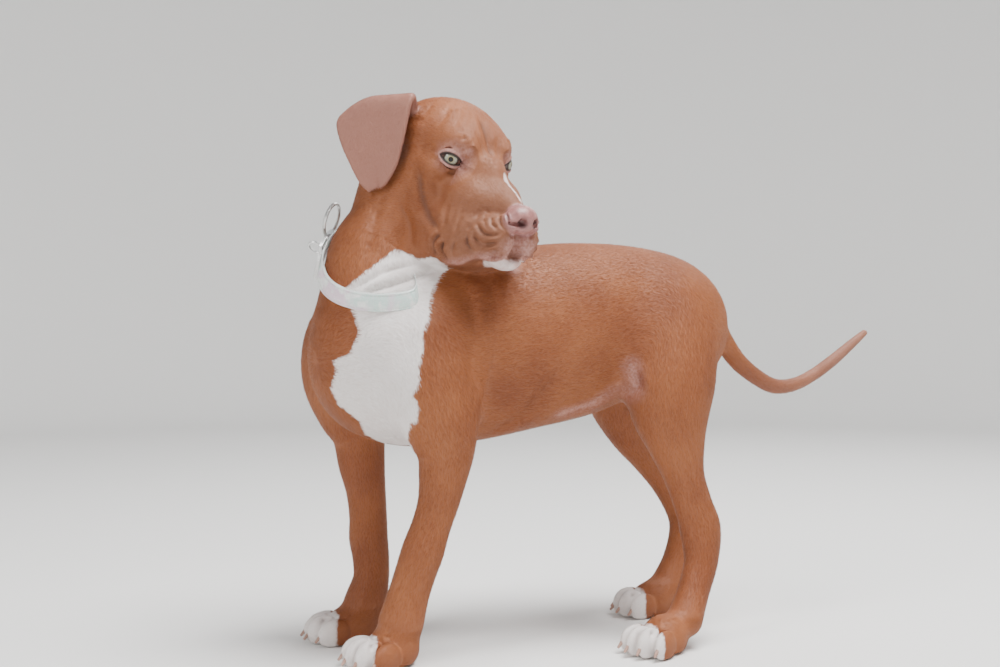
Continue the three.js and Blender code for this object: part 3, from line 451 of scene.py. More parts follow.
# Folds of loose skin on the head: places (forward, aside, up), depth and width. Each is on both sides.
HEAD_FOLDS = [
    ([(-28, 52, -14), (-19, 47, -40), (-6, 45, -56), (10, 43, -61)], 1.6, 4.6),
    ([(10, 27, -24), (8, 34, -42), (13, 42, -58)], 2.0, 3.2),
    ([(22, 27, -28), (25, 34, -44), (28, 40, -60)], 1.2, 2.6),
    ([(12, 44, -66), (6, 44, -76), (10, 40, -88)], 2.8, 2.4),
    ([(18, 44, -72), (16, 42, -80), (24, 34, -91)], 2.6, 2.2),
    ([(40, 37, -58), (44, 36, -69), (57, 31, -73), (73, 21, -63)], 1.9, 2.2),
    ([(45, 35, -58), (57, 32, -62), (71, 25, -57)], 1.8, 1.8),
    ([(44, 32, -47), (57, 31, -53), (68, 26, -50), (70, 22, -45)], 1.7, 1.7),
    ([(38, 36, -56), (43, 32, -45), (48, 27, -41)], 1.0, 2.0),
    ([(52, 23, -38), (57, 25, -44), (63, 24, -45)], 1.0, 1.6),
    ([(30, 40, -66), (28, 41, -80), (36, 36, -88)], 1.2, 2.6),
    ([(42, 37, -79), (56, 29, -79), (68, 20, -70)], 1.2, 2.2),
    ([(40, 21, -36), (50, 19, -33), (58, 16, -34)], 0.8, 1.9),
    ([(34, 22, -36), (38, 27, -44), (37, 32, -52)], 0.9, 2.2),
    ([(63, 16, -32), (69, 18, -36), (71, 15, -41), (75, 10, -42)], 1.5, 1.1),
    ([(-17, 45, -4), (-12, 42, 5), (-5, 36, 12), (-1, 29, 19), (0, 24, 25)], 2.0, 1.8),
    ([(-6, 30, 27), (1, 21, 29), (4, 13, 28)], 0.8, 2.4),
    ([(0, 13, 28), (6, 9, 14), (14, 8, 0)], 0.9, 2.8),
    ([(-44, 44, 30), (-50, 36, 37), (-54, 27, 43)], 0.55, 3.0),
    ([(-26, 42, 26), (-30, 31, 36), (-40, 20, 43)], 0.55, 3.0),
    ([(-13, 32, 30), (-20, 22, 37), (-32, 12, 44)], 0.55, 3.0),
    ([(-5, 24, 30), (-10, 14, 36), (-20, 6, 41)], 0.55, 3.0),
    ([(-62, 56, 16), (-52, 50, 26), (-40, 46, 28)], 1.1, 3.2),
    ([(-64, 60, 4), (-52, 55, 10), (-38, 50, 12)], 1.1, 3.2),
    ([(52, 20, -24), (58, 19, -36), (65, 19, -46), (74, 8, -51)], 1.3, 1.4),
    ([(72, 9, -71), (64, 22, -73), (46, 32, -84), (22, 37, -95)], 3.2, 1.9),
    ([(4, 22, -9), (-6, 33, -13), (-18, 42, -8)], 0.9, 2.0)]
MIDDLE_FOLDS = [
    ([(-18, 0, 40), (2, 0, 20), (12, 0, 0)], 1.3, 4.0),
    ([(84, 0, -48), (78, 0, -60), (72, 0, -70)], 3.5, 2.0)]

# Folds of the body's skin, in its own millimetres: on the left, then those that lie on the right as well.
BODY_FOLDS = [
    ([(6, -147, 448), (3, -147, 420), (15, -161, 376)], 1.6, 5.0),
    ([(14, -131, 429), (22, -122, 404), (25, -130, 373)], 1.5, 4.6),
    ([(21, -172, 348), (28, -137, 366), (34, -104, 373)], 2.2, 3.2),
    ([(26, -169, 342), (36, -137, 352), (32, -104, 364)], 2.2, 3.2)]
SIDE_FOLDS = [
    ([(44, -54, 368), (59, -50, 330), (64, -55, 290), (54, -62, 226)], 1.6, 7.0),
    ([(50, -30, 356), (64, -38, 322), (62, -46, 280)], 1.1, 7.0),
    ([(42, -74, 350), (60, -74, 312), (68, -82, 262)], 1.2, 7.0),
    ([(65, 14, 276), (51, -5, 242), (21, -36, 210)], 1.6, 8.0),
    ([(69, 90, 271), (71, 93, 251), (39, 64, 235), (34, 31, 226)], 2.6, 5.0)]
for x, y, splay, length, width in PAWS.values():
    for gap in (-1, 0, 1):
        cleft = [(gap * width * TOE_GAP * (1 - ahead), -length * (0.12 - abs(gap) * 0.05 + ahead), up)
                 for ahead, up in ((0, 31), (0.14, 29), (0.27, 20), (0.31, 6))]
        BODY_FOLDS.append(((x, y, 0) + cleft @ turned(splay).T, 2.4, 2.2))
BODY_FOLDS += SIDE_FOLDS
BODY_FOLDS += [([(-26 - x, y, z) for x, y, z in line], depth, width) for line, depth, width in SIDE_FOLDS]


def line_distance(places, line):
    """How far places lie from a line of points, and how far along it from 0 to 1 the nearest place is."""
    best, along = np.full(len(places), 1e6), np.zeros(len(places))
    for k, (a, b) in enumerate(zip(line, line[1:])):
        t = np.clip((places - a) @ (b - a) / ((b - a) ** 2).sum(), 0, 1)
        d = lengths(places - a - t[:, None] * (b - a))
        nearer = d < best
        best[nearer], along[nearer] = d[nearer], (k + t[nearer]) / (len(line) - 1)
    return best, along


def fold_depth(places, folds):
    """How deep the folds press into the skin at places; below zero on their swollen banks."""
    deep = np.zeros(len(places))
    for line, depth, width in folds:
        line = smooth_line(line, 8)
        reach = lengths(line - line[4]).max()
        near = within(places, line[4], reach + 5 * width)
        off, along = line_distance(places[near], line)
        groove, bank = np.exp(-(off / width) ** 2), np.exp(-((off - 2.1 * width) / (1.1 * width)) ** 2)
        strength = depth * np.minimum(1, 6 * np.minimum(along, 1 - along) + 0.25)
        strength *= np.where((along <= 0) | (along >= 1), groove, 1)
        deep[near] += 1.3 * strength * (groove - 0.36 * bank)
    return deep


def eye_angles(places, side):
    """Places seen from inside an eyeball: angles towards the nose and up from its gaze, and the distance."""
    gaze = unit(np.array(GAZE) * (1, side, 1))
    inward = unit(np.cross((0, 0, 1), gaze) * -side)
    up = np.cross(gaze, inward) * -side
    up *= np.sign(up[2])
    off = head_places(places) - (EYE_FORWARD, EYE_SIDE * side, 0)
    far = lengths(off) + 1e-9
    angle = np.arccos(np.clip(off @ gaze / far, -1, 1))
    spread = angle / (np.linalg.norm(np.stack((off @ inward, off @ up)), axis=0) + 1e-9)
    return off @ inward * spread, off @ up * spread, far


def lid_gap(x, y):
    """How far inside the opening of the lids an angle lies; below zero outside it."""
    middle = -0.2 * x - 0.02
    bow = 1 - np.abs(x / LID_REACH) ** 2.2
    above = middle + np.where(bow > 0, LID_RISE, 1) * bow - y
    below = y - middle + np.where(bow > 0, LID_DROP, 1) * bow
    return np.minimum(above, below) * 0.85


def open_lids(points):
    """Draws the skin round each eye onto the eyeball, and in behind the lids where they are open."""
    for side in (1, -1):
        x, y, far = eye_angles(points, side)
        near = np.flatnonzero((far < 26) & (np.hypot(x, y) < 2))
        gap = lid_gap(x[near], y[near])
        rim = ramp(gap, 0, -0.2)
        lid = EYE_RADIUS + LID_LIFT + 1.5 * rim * (2 - rim)
        lid = np.where(gap > 0, EYE_RADIUS + LID_LIFT - 3.2 * ramp(gap, 0, 0.14), lid)
        goal = far[near] + (lid - far[near]) * ease(gap, -0.78, -0.16)
        middle = eye_place(side)
        points[near] = middle + (points[near] - middle) * (goal / far[near])[:, None]
    return points


folds = [([(f, l * side, u) for f, l, u in line], depth * (1 if side < 0 else 0.85), width)
         for line, depth, width in HEAD_FOLDS for side in (1, -1)] + MIDDLE_FOLDS
skin_folds = fold_depth(head_places(skin_points), folds) * of_head(skin_points)
body_folds = fold_depth(skin_points, BODY_FOLDS)
skin_points = skin_points - outward(skin_points, skin_faces) * (skin_folds + body_folds)[:, None]
# The folds' depths, the body's at less strength, are kept to darken the coat in its creases with painted
# shade.
skin_folds = skin_folds + body_folds * 0.4
skin_points = open_lids(skin_points)


def new_mesh(name, points, faces):
    """A mesh object from places in the body's millimetres."""
    mesh = bpy.data.meshes.new(name)
    faces = np.asarray(faces)
    mesh.vertices.add(len(points))
    mesh.vertices.foreach_set("co", ((points - CORNER) / 1000).astype(np.float32).ravel())
    mesh.loops.add(faces.size)
    mesh.loops.foreach_set("vertex_index", faces.astype(np.int32).ravel())
    mesh.polygons.add(len(faces))
    mesh.polygons.foreach_set("loop_start", (np.arange(len(faces)) * faces.shape[1]).astype(np.int32))
    mesh.polygons.foreach_set("use_smooth", np.ones(len(faces), bool))
    mesh.update(calc_edges=True)
    piece = bpy.data.objects.new(name, mesh)
    scene.collection.objects.link(piece)
    return piece


def say(piece, name, values):
    """Writes one number for each point of a piece, for its finish to read."""
    layer = piece.data.attributes.new(name, "FLOAT", "POINT")
    layer.data.foreach_set("value", np.asarray(values, np.float32))


class Value:
    """A socket in a finish, that can be added to, multiplied and made into a ramp."""

    def __init__(self, finish, socket):
        self.finish, self.socket = finish, socket

    def math(self, operation, *others):
        return self.finish.node("ShaderNodeMath", {"operation": operation}, self, *others)

    def __add__(self, other):
        return self.math("ADD", other)

    def __sub__(self, other):
        return self.math("SUBTRACT", other)

    def __rsub__(self, other):
        return self.finish.node("ShaderNodeMath", {"operation": "SUBTRACT"}, other, self)

    def __mul__(self, other):
        return self.math("MULTIPLY", other)

    __radd__ = __add__

    def between(self, low, high):
        """0 below low, 1 above high, and a straight ramp from one to the other."""
        return self.finish.node("ShaderNodeMapRange", {}, self, low, high, 0, 1)


class Finish:
    """A material, made a node at a time."""

    def __init__(self, name):
        self.material = bpy.data.materials.new(name)
        self.material.use_nodes = True
        self.nodes = self.material.node_tree.nodes
        self.surface = self.nodes["Principled BSDF"]

    def put(self, socket, value):
        if isinstance(value, Value):
            self.material.node_tree.links.new(value.socket, socket)
        elif isinstance(value, tuple) and len(value) == 3 and socket.type == "RGBA":
            socket.default_value = (*value, 1)
        else:
            socket.default_value = value

    def node(self, kind, settings, *values, out=0, **named):
        """Any node: its settings first, then the values or links of its sockets, in order or by name."""
        node = self.nodes.new(kind)
        for key, value in settings.items():
            setattr(node, key, value)
        for socket, value in zip(node.inputs, values):
            self.put(socket, value)
        for key, value in named.items():
            self.put(node.inputs[key.replace("_", " ")], value)
        return Value(self, node.outputs[out])

    def mix(self, factor, a, b, blend="MIX"):
        """Two colours mixed."""
        node = self.nodes.new("ShaderNodeMix")
        node.data_type, node.blend_type = "RGBA", blend
        for socket, value in zip((node.inputs[0], node.inputs[6], node.inputs[7]), (factor, a, b)):
            self.put(socket, value)
        return Value(self, node.outputs[2])

    def read(self, name):
        return self.node("ShaderNodeAttribute", {"attribute_name": name}, out=2)

    def texture(self, kind, scale, out=0, **named):
        """A texture over the piece's own places, in cycles per metre."""
        places = self.node("ShaderNodeTexCoord", {}, out=3)
        return self.node(kind, {}, Vector=places, Scale=scale, out=out, **named)

    def noise(self, scale, detail=2):
        return self.texture("ShaderNodeTexNoise", scale, Detail=detail)

    def bump(self, height, distance, strength):
        return self.node("ShaderNodeBump", {}, Strength=strength, Distance=distance, Height=height)

    def look(self, **values):
        for key, value in values.items():
            self.put(self.surface.inputs[key.replace("_", " ")], value)


def dress(piece, finish, slot, *nodes):
    """Puts a finish on a piece, fixes it to the body and hides the nodes it stands for."""
    piece.data.materials.clear()
    piece.data.materials.append(finish.material)
    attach(piece, "root")
    if nodes:
        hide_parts(*nodes)


# White fur lies on the chest and throat, on the toes, under the chin and in a thin line on the nose. The
# bib's outline is drawn on an upright sheet that faces the chest, as places along the sheet and up.
BIB_SHEET = 64
BIB = [
    (-112, 384), (-121, 377), (-140, 362), (-152, 352), (-159, 345), (-150, 324), (-144, 305), (-154, 287),
    (-169, 281), (-166, 272), (-172, 255), (-165, 240), (-147, 225), (-143, 211), (-122, 196), (-110, 190),
    (-95, 200), (-100, 210), (-97, 225), (-91, 228), (-89, 243), (-95, 251), (-88, 262), (-89, 277),
    (-85, 291), (-86, 305), (-81, 319), (-80, 342), (-72, 358), (-64, 368), (-78, 376), (-90, 374)]
WHITE_TOES = {"front_left": (7, 0.55), "front_right": (3, 0), "hind_left": (6, 0.2), "hind_right": (3, 0)}
BLAZE = [(24, 5, -6), (44, 6, -12), (60, 5, -20)]


def white_at(places):
    """Millimetres inside the white markings; below zero outside them."""
    along, behind = (places[:, :2] @ turned(BIB_SHEET)[:2, :2]).T
    sheet = np.stack((along, places[:, 2]), 1)
    outline, inside = np.array(BIB + BIB[:1], float), np.zeros(len(places), bool)
    for a, b in zip(outline, outline[1:]):
        crosses = (a[1] > sheet[:, 1]) != (b[1] > sheet[:, 1])
        inside ^= crosses & (sheet[:, 0] < a[0] + (sheet[:, 1] - a[1]) / (b[1] - a[1] + 1e-9) * (b[0] - a[0]))
    edge, _ = line_distance(sheet, outline)
    white = np.minimum(np.where(inside, edge, -edge), -behind - 45)
    for name, (x, y, splay, *_) in PAWS.items():
        off = places[:, :2] - (x, y)
        aside, behind = (off @ turned(splay)[:2, :2]).T
        start, lean = WHITE_TOES[name]
        ahead = -behind - 0.35 * np.abs(aside) - lean * aside - start
        toes = np.minimum(ahead, 28 - places[:, 2] + 0.3 * ahead)
        white = np.maximum(white, np.minimum(toes, 46 - np.hypot(*off.T)))
    head = head_places(places)
    white = np.maximum(white, np.minimum(21 - lengths(head - (58, 0, -88)), -73 - head[:, 2]))
    return np.maximum(white, 3.2 - line_distance(head, np.array(BLAZE, float))[0]).clip(-30, 30)


# Lips, the inner corners of the eyes, and the mouth and nostrils as places and half sizes, all on the head.
LIP_LINE = [(74, 0, -66), (72, 9, -71), (64, 22, -73), (46, 32, -84), (22, 37, -95)]
INNER_SPOT, NO_LID = (6, 24, 9), -9.0
# The mouth and nostrils are darkened with painted shade.
HOLES = [((74, 0, -69), (9, 9, 4.5)), ((79, 8, -37), (7, 4.4, 4.2)), ((79, -8, -37), (7, 4.4, 4.2))]


def bare_at(places):
    """How bare of fur and pink the skin is: lids, lips and the skin beside the nose."""
    head = head_places(places)
    bare = np.zeros(len(places))
    for side in (1, -1):
        x, y, far = eye_angles(places, side)
        gap = np.where((far < 26) & (np.hypot(x, y) < 2.4), lid_gap(x, y), NO_LID)
        lips, _ = line_distance(head, smooth_line(np.array(LIP_LINE) * (1, side, 1), 12))
        spot = lengths(head - np.array(INNER_SPOT) * (1, side, 1))
        for part in (ramp(gap, -0.69, -0.07), 0.8 * ramp(lips, 10, 1), 0.7 * ramp(spot, 7, 3)):
            bare = np.maximum(bare, part)
    bare = np.maximum(bare, 0.7 * ramp(lengths((head - (73, 0, -60)) / (14, 20, 13)), 1.3, 0.7))
    for line, _, _ in (SIDE_FOLDS[-1], BODY_FOLDS[-1]):
        off, _ = line_distance(places, np.array(line, float))
        bare = np.maximum(bare, 0.6 * ramp(off, 15, 3))
    return bare


def nose_at(places):
    """1 on the nose's leather, 0 off it."""
    head = head_places(places)
    return ramp(lengths((head - (70, 0, -36)) / (17, 20.5, 16.5)), 1.08, 0.96) * ramp(head[:, 0], 55, 58)


def ear_at(places):
    return ramp(ear_distance(places), 4.5, 1.5)


def mark(piece, places, folds_here):
    """Writes on a piece all that its finish needs to know of the places."""
    head = head_places(places)
    hole = np.min([lengths((head - middle) / radii) for middle, radii in HOLES], axis=0)
    marks = {"white": white_at(places), "bare": bare_at(places), "nose": nose_at(places),
             "ear": ear_at(places), "fold_shade": folds_here, "hole": ramp(hole, 1.25, 0.9),
             "tail": ramp(places[:, 1], 240, 410), "face": ramp(head[:, 0], -20, 40) * of_head(places)}
    for name, values in marks.items():
        say(piece, name, values)


class Fur(Finish):
    """The puppy's colours, with painted shade in folds, mouth and nostrils, the same in skin and coat. Tone
    runs from 0 to 1 and lightens.
    """

    def __init__(self, name, tone=None):
        super().__init__(name)
        tone = tone or self.read("tone")
        red = self.mix(self.noise(14, 3).between(0.3, 0.7), (0.235, 0.07, 0.024), (0.335, 0.115, 0.041))
        red = self.mix(1.0, red, self.mix(tone, (0.78, 0.73, 0.7), (1.16, 1.14, 1.12)), "MULTIPLY")
        red = self.mix(self.read("face") * 0.6, red, (0.21, 0.088, 0.05))
        red = self.mix(self.read("ear") * 0.75, red, (0.40, 0.19, 0.15))
        red = self.mix(self.read("tail") * 0.5, red, (0.30, 0.16, 0.13))
        ragged = self.read("white") + (self.noise(220, 3) - 0.5) * 4.5
        white = self.mix(tone, (0.76, 0.68, 0.65), (0.9, 0.87, 0.85))
        white = self.mix(self.read("face") * self.noise(90, 3).between(0.35, 0.7), white, (0.62, 0.4, 0.36))
        fur = self.mix(ragged.between(-0.7, 0.9), red, white)
        # Painted shade: the coat darkens in the skin's folds and creases.
        fur = self.mix(self.read("fold_shade").between(0.5, 2.6) * 0.85, fur, (0.075, 0.026, 0.014))
        bare = self.mix(self.noise(420, 3).between(0.35, 0.65), (0.32, 0.135, 0.11), (0.50, 0.27, 0.245))
        fur = self.mix(self.read("bare") * 0.85, fur, bare)
        leather = self.mix(self.noise(300, 2).between(0.3, 0.7), (0.24, 0.095, 0.085), (0.36, 0.16, 0.145))
        fur = self.mix(self.read("nose"), fur, leather)
        # Painted shade: the mouth and nostrils go near-black.
        self.colour = self.mix(self.read("hole") * 0.9, fur, (0.05, 0.012, 0.012))


skin = new_mesh("skin", skin_points, skin_faces)
skin.data.uv_layers.new(name="OFBake")
bpy.context.view_layer.objects.active = skin
bpy.ops.object.mode_set(mode="EDIT")
bpy.ops.mesh.select_all(action="SELECT")
bpy.ops.uv.smart_project(angle_limit=1.15, island_margin=0.001)
bpy.ops.object.mode_set(mode="OBJECT")
skin_map = np.empty(len(skin_faces) * 6, np.float32)
skin.data.uv_layers["OFBake"].data.foreach_get("uv", skin_map)
skin_map = skin_map.reshape(-1, 3, 2)
mark(skin, skin_points, skin_folds)
rim = np.full(len(skin_points), NO_LID)
for side in (1, -1):
    x, y, far = eye_angles(skin_points, side)
    rim = np.maximum(rim, np.where((far < 18) & (np.hypot(x, y) < 2), lid_gap(x, y), NO_LID))
say(skin, "rim", rim)
hide = Fur("hide", 0.45)
pores, grain = hide.texture("ShaderNodeTexVoronoi", 1100), hide.noise(1500, 3)
colour = hide.mix(hide.read("rim").between(-0.09, -0.02), hide.colour, (0.03, 0.014, 0.011))
hide.look(Base_Color=colour, Roughness=0.62 - hide.read("nose") * 0.25,
          Normal=hide.bump(hide.mix(hide.read("nose"), grain, pores * 0.4), 0.0004, 0.6))
dress(skin, hide, "coat", *[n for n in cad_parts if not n.startswith(("eye", "claw", "collar"))])

# ---------------------------------------------------------------- coat
# A short coat of flat overlapping tufts. Each lies along the body the way a dog's coat does, and is least on
# the face, ears and feet. Tufts keep the colour of the skin at their roots.
COAT_COUNT, COAT_SEED = 390000, 4


def lie_of(places):
    """The way the coat lies: back from the nose, down the neck and legs, and along the trunk and tail."""
    total = np.zeros((len(places), 3))
    for form in FLESH:
        if isinstance(form, Limb):
            off, way = form.lie_at(places)
            total += np.exp(-np.clip(off, -20, 60) / 7)[:, None] * way
    head = head_places(places)
    back = (head - (74, 0, -34)) * (1, 0.8, 0.8) + (0, 0, -0.15) * np.abs(head[:, :1] - 74)
    share = (ramp(lengths(head - (-12, 0, -22)), 112, 92) * of_head(places))[:, None]
    total = unit(total) * (1 - share) + unit(back) @ HEAD_TURN.T * share
    for flap in EARS:
        on = ramp(flap.distance(places, 12), 4, 2)[:, None]
        total = total * (1 - on) + flap.hang * on
    for x, y, splay, *_ in PAWS.values():
        on = (ramp(np.hypot(*(places[:, :2] - (x, y)).T), 50, 40) * ramp(places[:, 2], 40, 26))[:, None]
        total = total * (1 - on) + turned(splay) @ (0, -1, -0.5) * on
    return total


def sow(count, dice):
    """Roots spread evenly over the skin, closer where the coat is shorter: face index and corner weights."""
    a, b, c = skin_points[skin_faces.T]
    middle = (a + b + c) / 3
    share = lengths(np.cross(b - a, c - a)) * (1 + 1.6 * (depth_of_coat(middle) < 0.75))
    share *= (bare_at(middle) < 0.5) & (nose_at(middle) < 0.3) & (middle[:, 2] > 2.5)
    where = np.searchsorted(np.cumsum(share), (np.arange(count) + dice.random(count)) / count * share.sum())
    where = np.minimum(where, len(skin_faces) - 1)
    u, v = dice.random(count), dice.random(count)
    u, v = np.where(u + v > 1, 1 - u, u), np.where(u + v > 1, 1 - v, v)
    return where, np.stack((1 - u - v, u, v), 1)


dice = np.random.default_rng(COAT_SEED)
where, weights = sow(COAT_COUNT, dice)


def at_roots(values):
    return (values[skin_faces[where]] * weights[..., None]).sum(1)


roots = at_roots(skin_points)
up = unit(at_roots(outward(skin_points, skin_faces)))
way = lie_of(roots)
way = unit(way - up * (way * up).sum(1, keepdims=True))
aside = np.cross(up, way)
sway = dice.normal(0, 0.16, COAT_COUNT)[:, None]
way, aside = way * np.cos(sway) + aside * np.sin(sway), aside * np.cos(sway) - way * np.sin(sway)
depth = depth_of_coat(roots)[:, None]
size = dice.uniform(0.75, 1.25, COAT_COUNT)[:, None]
length = (1.0 + 2.9 * depth) * size
width = (0.06 + 0.115 * depth) * size
rise = depth * dice.uniform(0.25, 0.7, COAT_COUNT)[:, None]
base, bend = roots - up * 0.25, roots + way * length * 0.55 + up * rise * 0.8
tufts = np.stack((base - aside * width, base + aside * width, bend - aside * width * 0.85,
                  bend + aside * width * 0.85, roots + way * length + up * rise), 1)
tufts[..., 2] = np.maximum(tufts[..., 2], FLOOR_GAP)
TUFT_POINTS, TUFT_FACES = 5, np.array(((0, 3, 1), (0, 2, 3), (2, 4, 3)))
tone = dice.random(COAT_COUNT)
lean = aside * dice.normal(0, 0.2, COAT_COUNT)[:, None] - way * dice.normal(0.06, 0.12, COAT_COUNT)[:, None]
# Each tuft has its own small patch of the skin's map, round the place of its root.
TUFT_PATCH, PATCH_SIZE = np.array(((0, 0), (1, 0), (0.1, 0.6), (0.9, 0.6), (0.5, 1))), 0.003
on_map = (skin_map[where] * weights[..., None]).sum(1)
# The depth of the folds at each root, for the painted shade in the creases.
root_folds = at_roots(skin_folds[:, None])[:, 0]

# A tuft belongs to the first of these that it lies in.
head = head_places(roots)
x, y, z = roots.T
parts = {"ears": ear_at(roots) > 0.5,
         "muzzle": lengths(head - (46, 0, -50)) < 58,
         "head": (lengths(head - (-12, 0, -22)) < 105) & (z > 345),
         "neck": (y < -20) & (z > 330),
         "feet": z < 60,
         "forelegs": (z < 225) & (y < 0),
         "hindlegs": (z < 250) & (y > 80) & (y < 262),
         "tail": y > 212,
         "chest": y < 20,
         "flank_left": x > 5,
         "flank_right": x <= 5}
strand = Fur("strand")
strand.look(Base_Color=strand.colour, Roughness=0.6, Specular_IOR_Level=0.25)
left = np.ones(COAT_COUNT, bool)
for name, on in parts.items():
    chosen = np.flatnonzero(on & left)
    left[chosen] = False
    faces = (np.arange(len(chosen))[:, None, None] * TUFT_POINTS + TUFT_FACES).reshape(-1, 3)
    coat = new_mesh("coat_" + name, tufts[chosen].reshape(-1, 3), faces)
    mark(coat, roots[chosen].repeat(TUFT_POINTS, 0), root_folds[chosen].repeat(TUFT_POINTS))
    say(coat, "tone", tone[chosen].repeat(TUFT_POINTS))
    corners = on_map[chosen, None] + (TUFT_PATCH[TUFT_FACES.ravel()] - 0.5) * PATCH_SIZE
    coat.data.uv_layers.new(name="OFBake").data.foreach_set("uv", corners.astype(np.float32).ravel())
    # The shading follows the skin beneath, with a little of each tuft's own lean.
    facing = unit(up[chosen] + lean[chosen])
    coat.data.normals_split_custom_set_from_vertices(facing.repeat(TUFT_POINTS, 0))
    dress(coat, strand, "coat")

# ---------------------------------------------------------------- eyes
# Each eye is a ball with a clear bulge at the front, a pale green iris with a dark rim, and a small pupil.
LOOK, EYE_ROWS, EYE_COLUMNS = (0.78, 0.62, 0.06), 64, 48


def ring_faces(rows, columns):
    """Four-sided faces between rows of points, each row closed on itself."""
    a, b = (np.arange(rows)[:, None] * columns + (np.arange(columns) + k) % columns for k in (0, 1))
    return np.stack((a, a + columns, b + columns, b), -1).reshape(-1, 4)


def eyeball(side):
    """Places of an eyeball, and for each the angle from its gaze and the turn round it."""
    gaze = unit(HEAD_TURN @ (np.array(LOOK) * (1, side, 1)))
    across = unit(np.cross(gaze, (0, 0, 1)))
    angle = np.repeat(math.pi * (np.arange(EYE_ROWS + 1) / EYE_ROWS) ** 1.4, EYE_COLUMNS)[:, None]
    turn = np.tile(math.tau * np.arange(EYE_COLUMNS) / EYE_COLUMNS, EYE_ROWS + 1)[:, None]
    bulge = 1 + 0.045 * np.cos(np.minimum(angle / 0.62, 1) * math.pi / 2).clip(0) ** 1.5
    ring = across * np.cos(turn) + np.cross(across, gaze) * np.sin(turn)
    way = gaze * np.cos(angle) + ring * np.sin(angle)
    return eye_place(side) + way * EYE_RADIUS * bulge, angle[:, 0], turn[:, 0]


eye = Finish("eye")
angle, spoke = eye.read("angle"), eye.read("spoke")
fibres = eye.node("ShaderNodeTexNoise", {"noise_dimensions": "2D"}, Scale=1.0, Detail=3,
                  Vector=eye.node("ShaderNodeCombineXYZ", {}, spoke * 9, angle * 3, 0))
iris = eye.mix(fibres.between(0.35, 0.7), (0.21, 0.21, 0.15), (0.38, 0.38, 0.29))
iris = eye.mix(angle.between(0.23, 0.34), (0.30, 0.25, 0.11), iris)
iris = eye.mix(angle.between(0.5, 0.62), iris, (0.045, 0.03, 0.022))
iris = eye.mix(angle.between(0.20, 0.235), (0.006, 0.005, 0.005), iris)
# The white of the eye is dark brown, darkest beside the iris: partly its own colour, partly painted shade.
white = eye.mix(angle.between(0.72, 1.0), (0.035, 0.016, 0.012), (0.16, 0.07, 0.055))
iris = eye.mix(angle.between(0.64, 0.7), iris, white)
eye.look(Base_Color=eye.mix(eye.read("shade") * 0.9, iris, (0.02, 0.01, 0.008)), Roughness=0.3,
         Specular_IOR_Level=0.1, Coat_Weight=0.6, Coat_Roughness=0.02)
ball_faces = ring_faces(EYE_ROWS, EYE_COLUMNS)[:, ((0, 1, 2), (0, 2, 3))].reshape(-1, 3)
for name, side in (("left", 1), ("right", -1)):
    points, angles, turns = eyeball(side)
    ball = new_mesh("eyeball_" + name, points, ball_faces)
    say(ball, "angle", angles)
    say(ball, "spoke", turns)
    # The upper lid shades the ball beneath it.
    x, y, _ = eye_angles(points, side)
    say(ball, "shade", 1 - ramp(lid_gap(x, y) + 0.1 * np.clip(-y, -1, 0.5), 0.08, 0.2))
    dress(ball, eye, "eye", "eye_" + name)

# ---------------------------------------------------------------- collar
# A stitched strap of pearly mint and pink, in a sloping plane that is low at the throat. Under the jaw of the
# turned head it sinks between the folds of the neck. Its metal fittings are the body's own.
COLLAR_CENTRE, COLLAR_SLOPE, STITCHES = (-20, -130, 372), (-0.52, 0.213), 133
STRAP_WIDTH, STRAP_THICK, STRAP_SLACK, STRAP_SUNK, STRAP_TURNS = 15, 2.4, 1.6, 6, 216
collar_up = unit(np.array((-COLLAR_SLOPE[0], -COLLAR_SLOPE[1], 1)))
collar_left = unit(np.cross((0, 1, 0), collar_up))
COLLAR_AXES = np.stack((collar_left, np.cross(collar_up, collar_left), collar_up))


def on_collar(turn, reach, height):
    ride = 20 * (0.5 + 0.5 * np.sin(turn)) ** 3 + 12 * ease(-np.cos(turn), 0.2, 0.8)
    place = np.stack((np.cos(turn) * reach, np.sin(turn) * reach, height + ride), 1)
    return COLLAR_CENTRE + place @ COLLAR_AXES


def collar_reach(forms, height):
    """How far from the collar's middle the strap lies round the forms, turn by turn."""
    reach = np.full(STRAP_TURNS, 20.0)
    for _ in range(30):
        reach += (STRAP_SLACK - flesh_at(on_collar(turn, reach, height), forms, 60, ())) * 0.8
    return reach


turn = np.linspace(-math.pi, math.pi, STRAP_TURNS, endpoint=False)
degrees = np.degrees(turn)
sunk = ease(degrees, 0, 16) * (1 - ease(degrees, 80, 110))
edges = []
for height in (-STRAP_WIDTH / 2, STRAP_WIDTH / 2):
    outer = collar_reach(FLESH[:3] + HEAD, height)
    edges.append(outer + (collar_reach(FLESH[1:3], height) - STRAP_SUNK - outer) * sunk)
edges[1] = np.maximum(edges[1], edges[0] - 0.4 * STRAP_WIDTH)
for _ in range(6):
    edges = [(np.roll(e, 1) + 2 * e + np.roll(e, -1)) / 4 for e in edges]
# The strap's section from its lower inner edge to its upper one, as places across it and out.
profile = [(0, 0), (0, 0.8), (0.04, 1), (0.1, 1), (0.13, 0.8), (0.16, 1), (0.5, 1.12), (0.84, 1),
           (0.87, 0.8), (0.9, 1), (0.96, 1), (1, 0.8), (1, 0)]
points = np.stack([on_collar(turn, edges[0] + (edges[1] - edges[0]) * t + STRAP_THICK * out,
                             STRAP_WIDTH * (t - 0.5)) for t, out in profile], 1).reshape(-1, 3)
faces = ring_faces(STRAP_TURNS, len(profile)) % len(points)
strap = new_mesh("strap", points, faces[:, ((0, 3, 1), (3, 2, 1))].reshape(-1, 3))
say(strap, "across", np.tile([t for t, _ in profile], STRAP_TURNS))
stitched = math.tau * STITCHES * (np.arange(STRAP_TURNS) + 1) / STRAP_TURNS
say(strap, "around", np.repeat(stitched, len(profile)))
pearl = Finish("pearl")
across, around = pearl.read("across"), pearl.read("around")
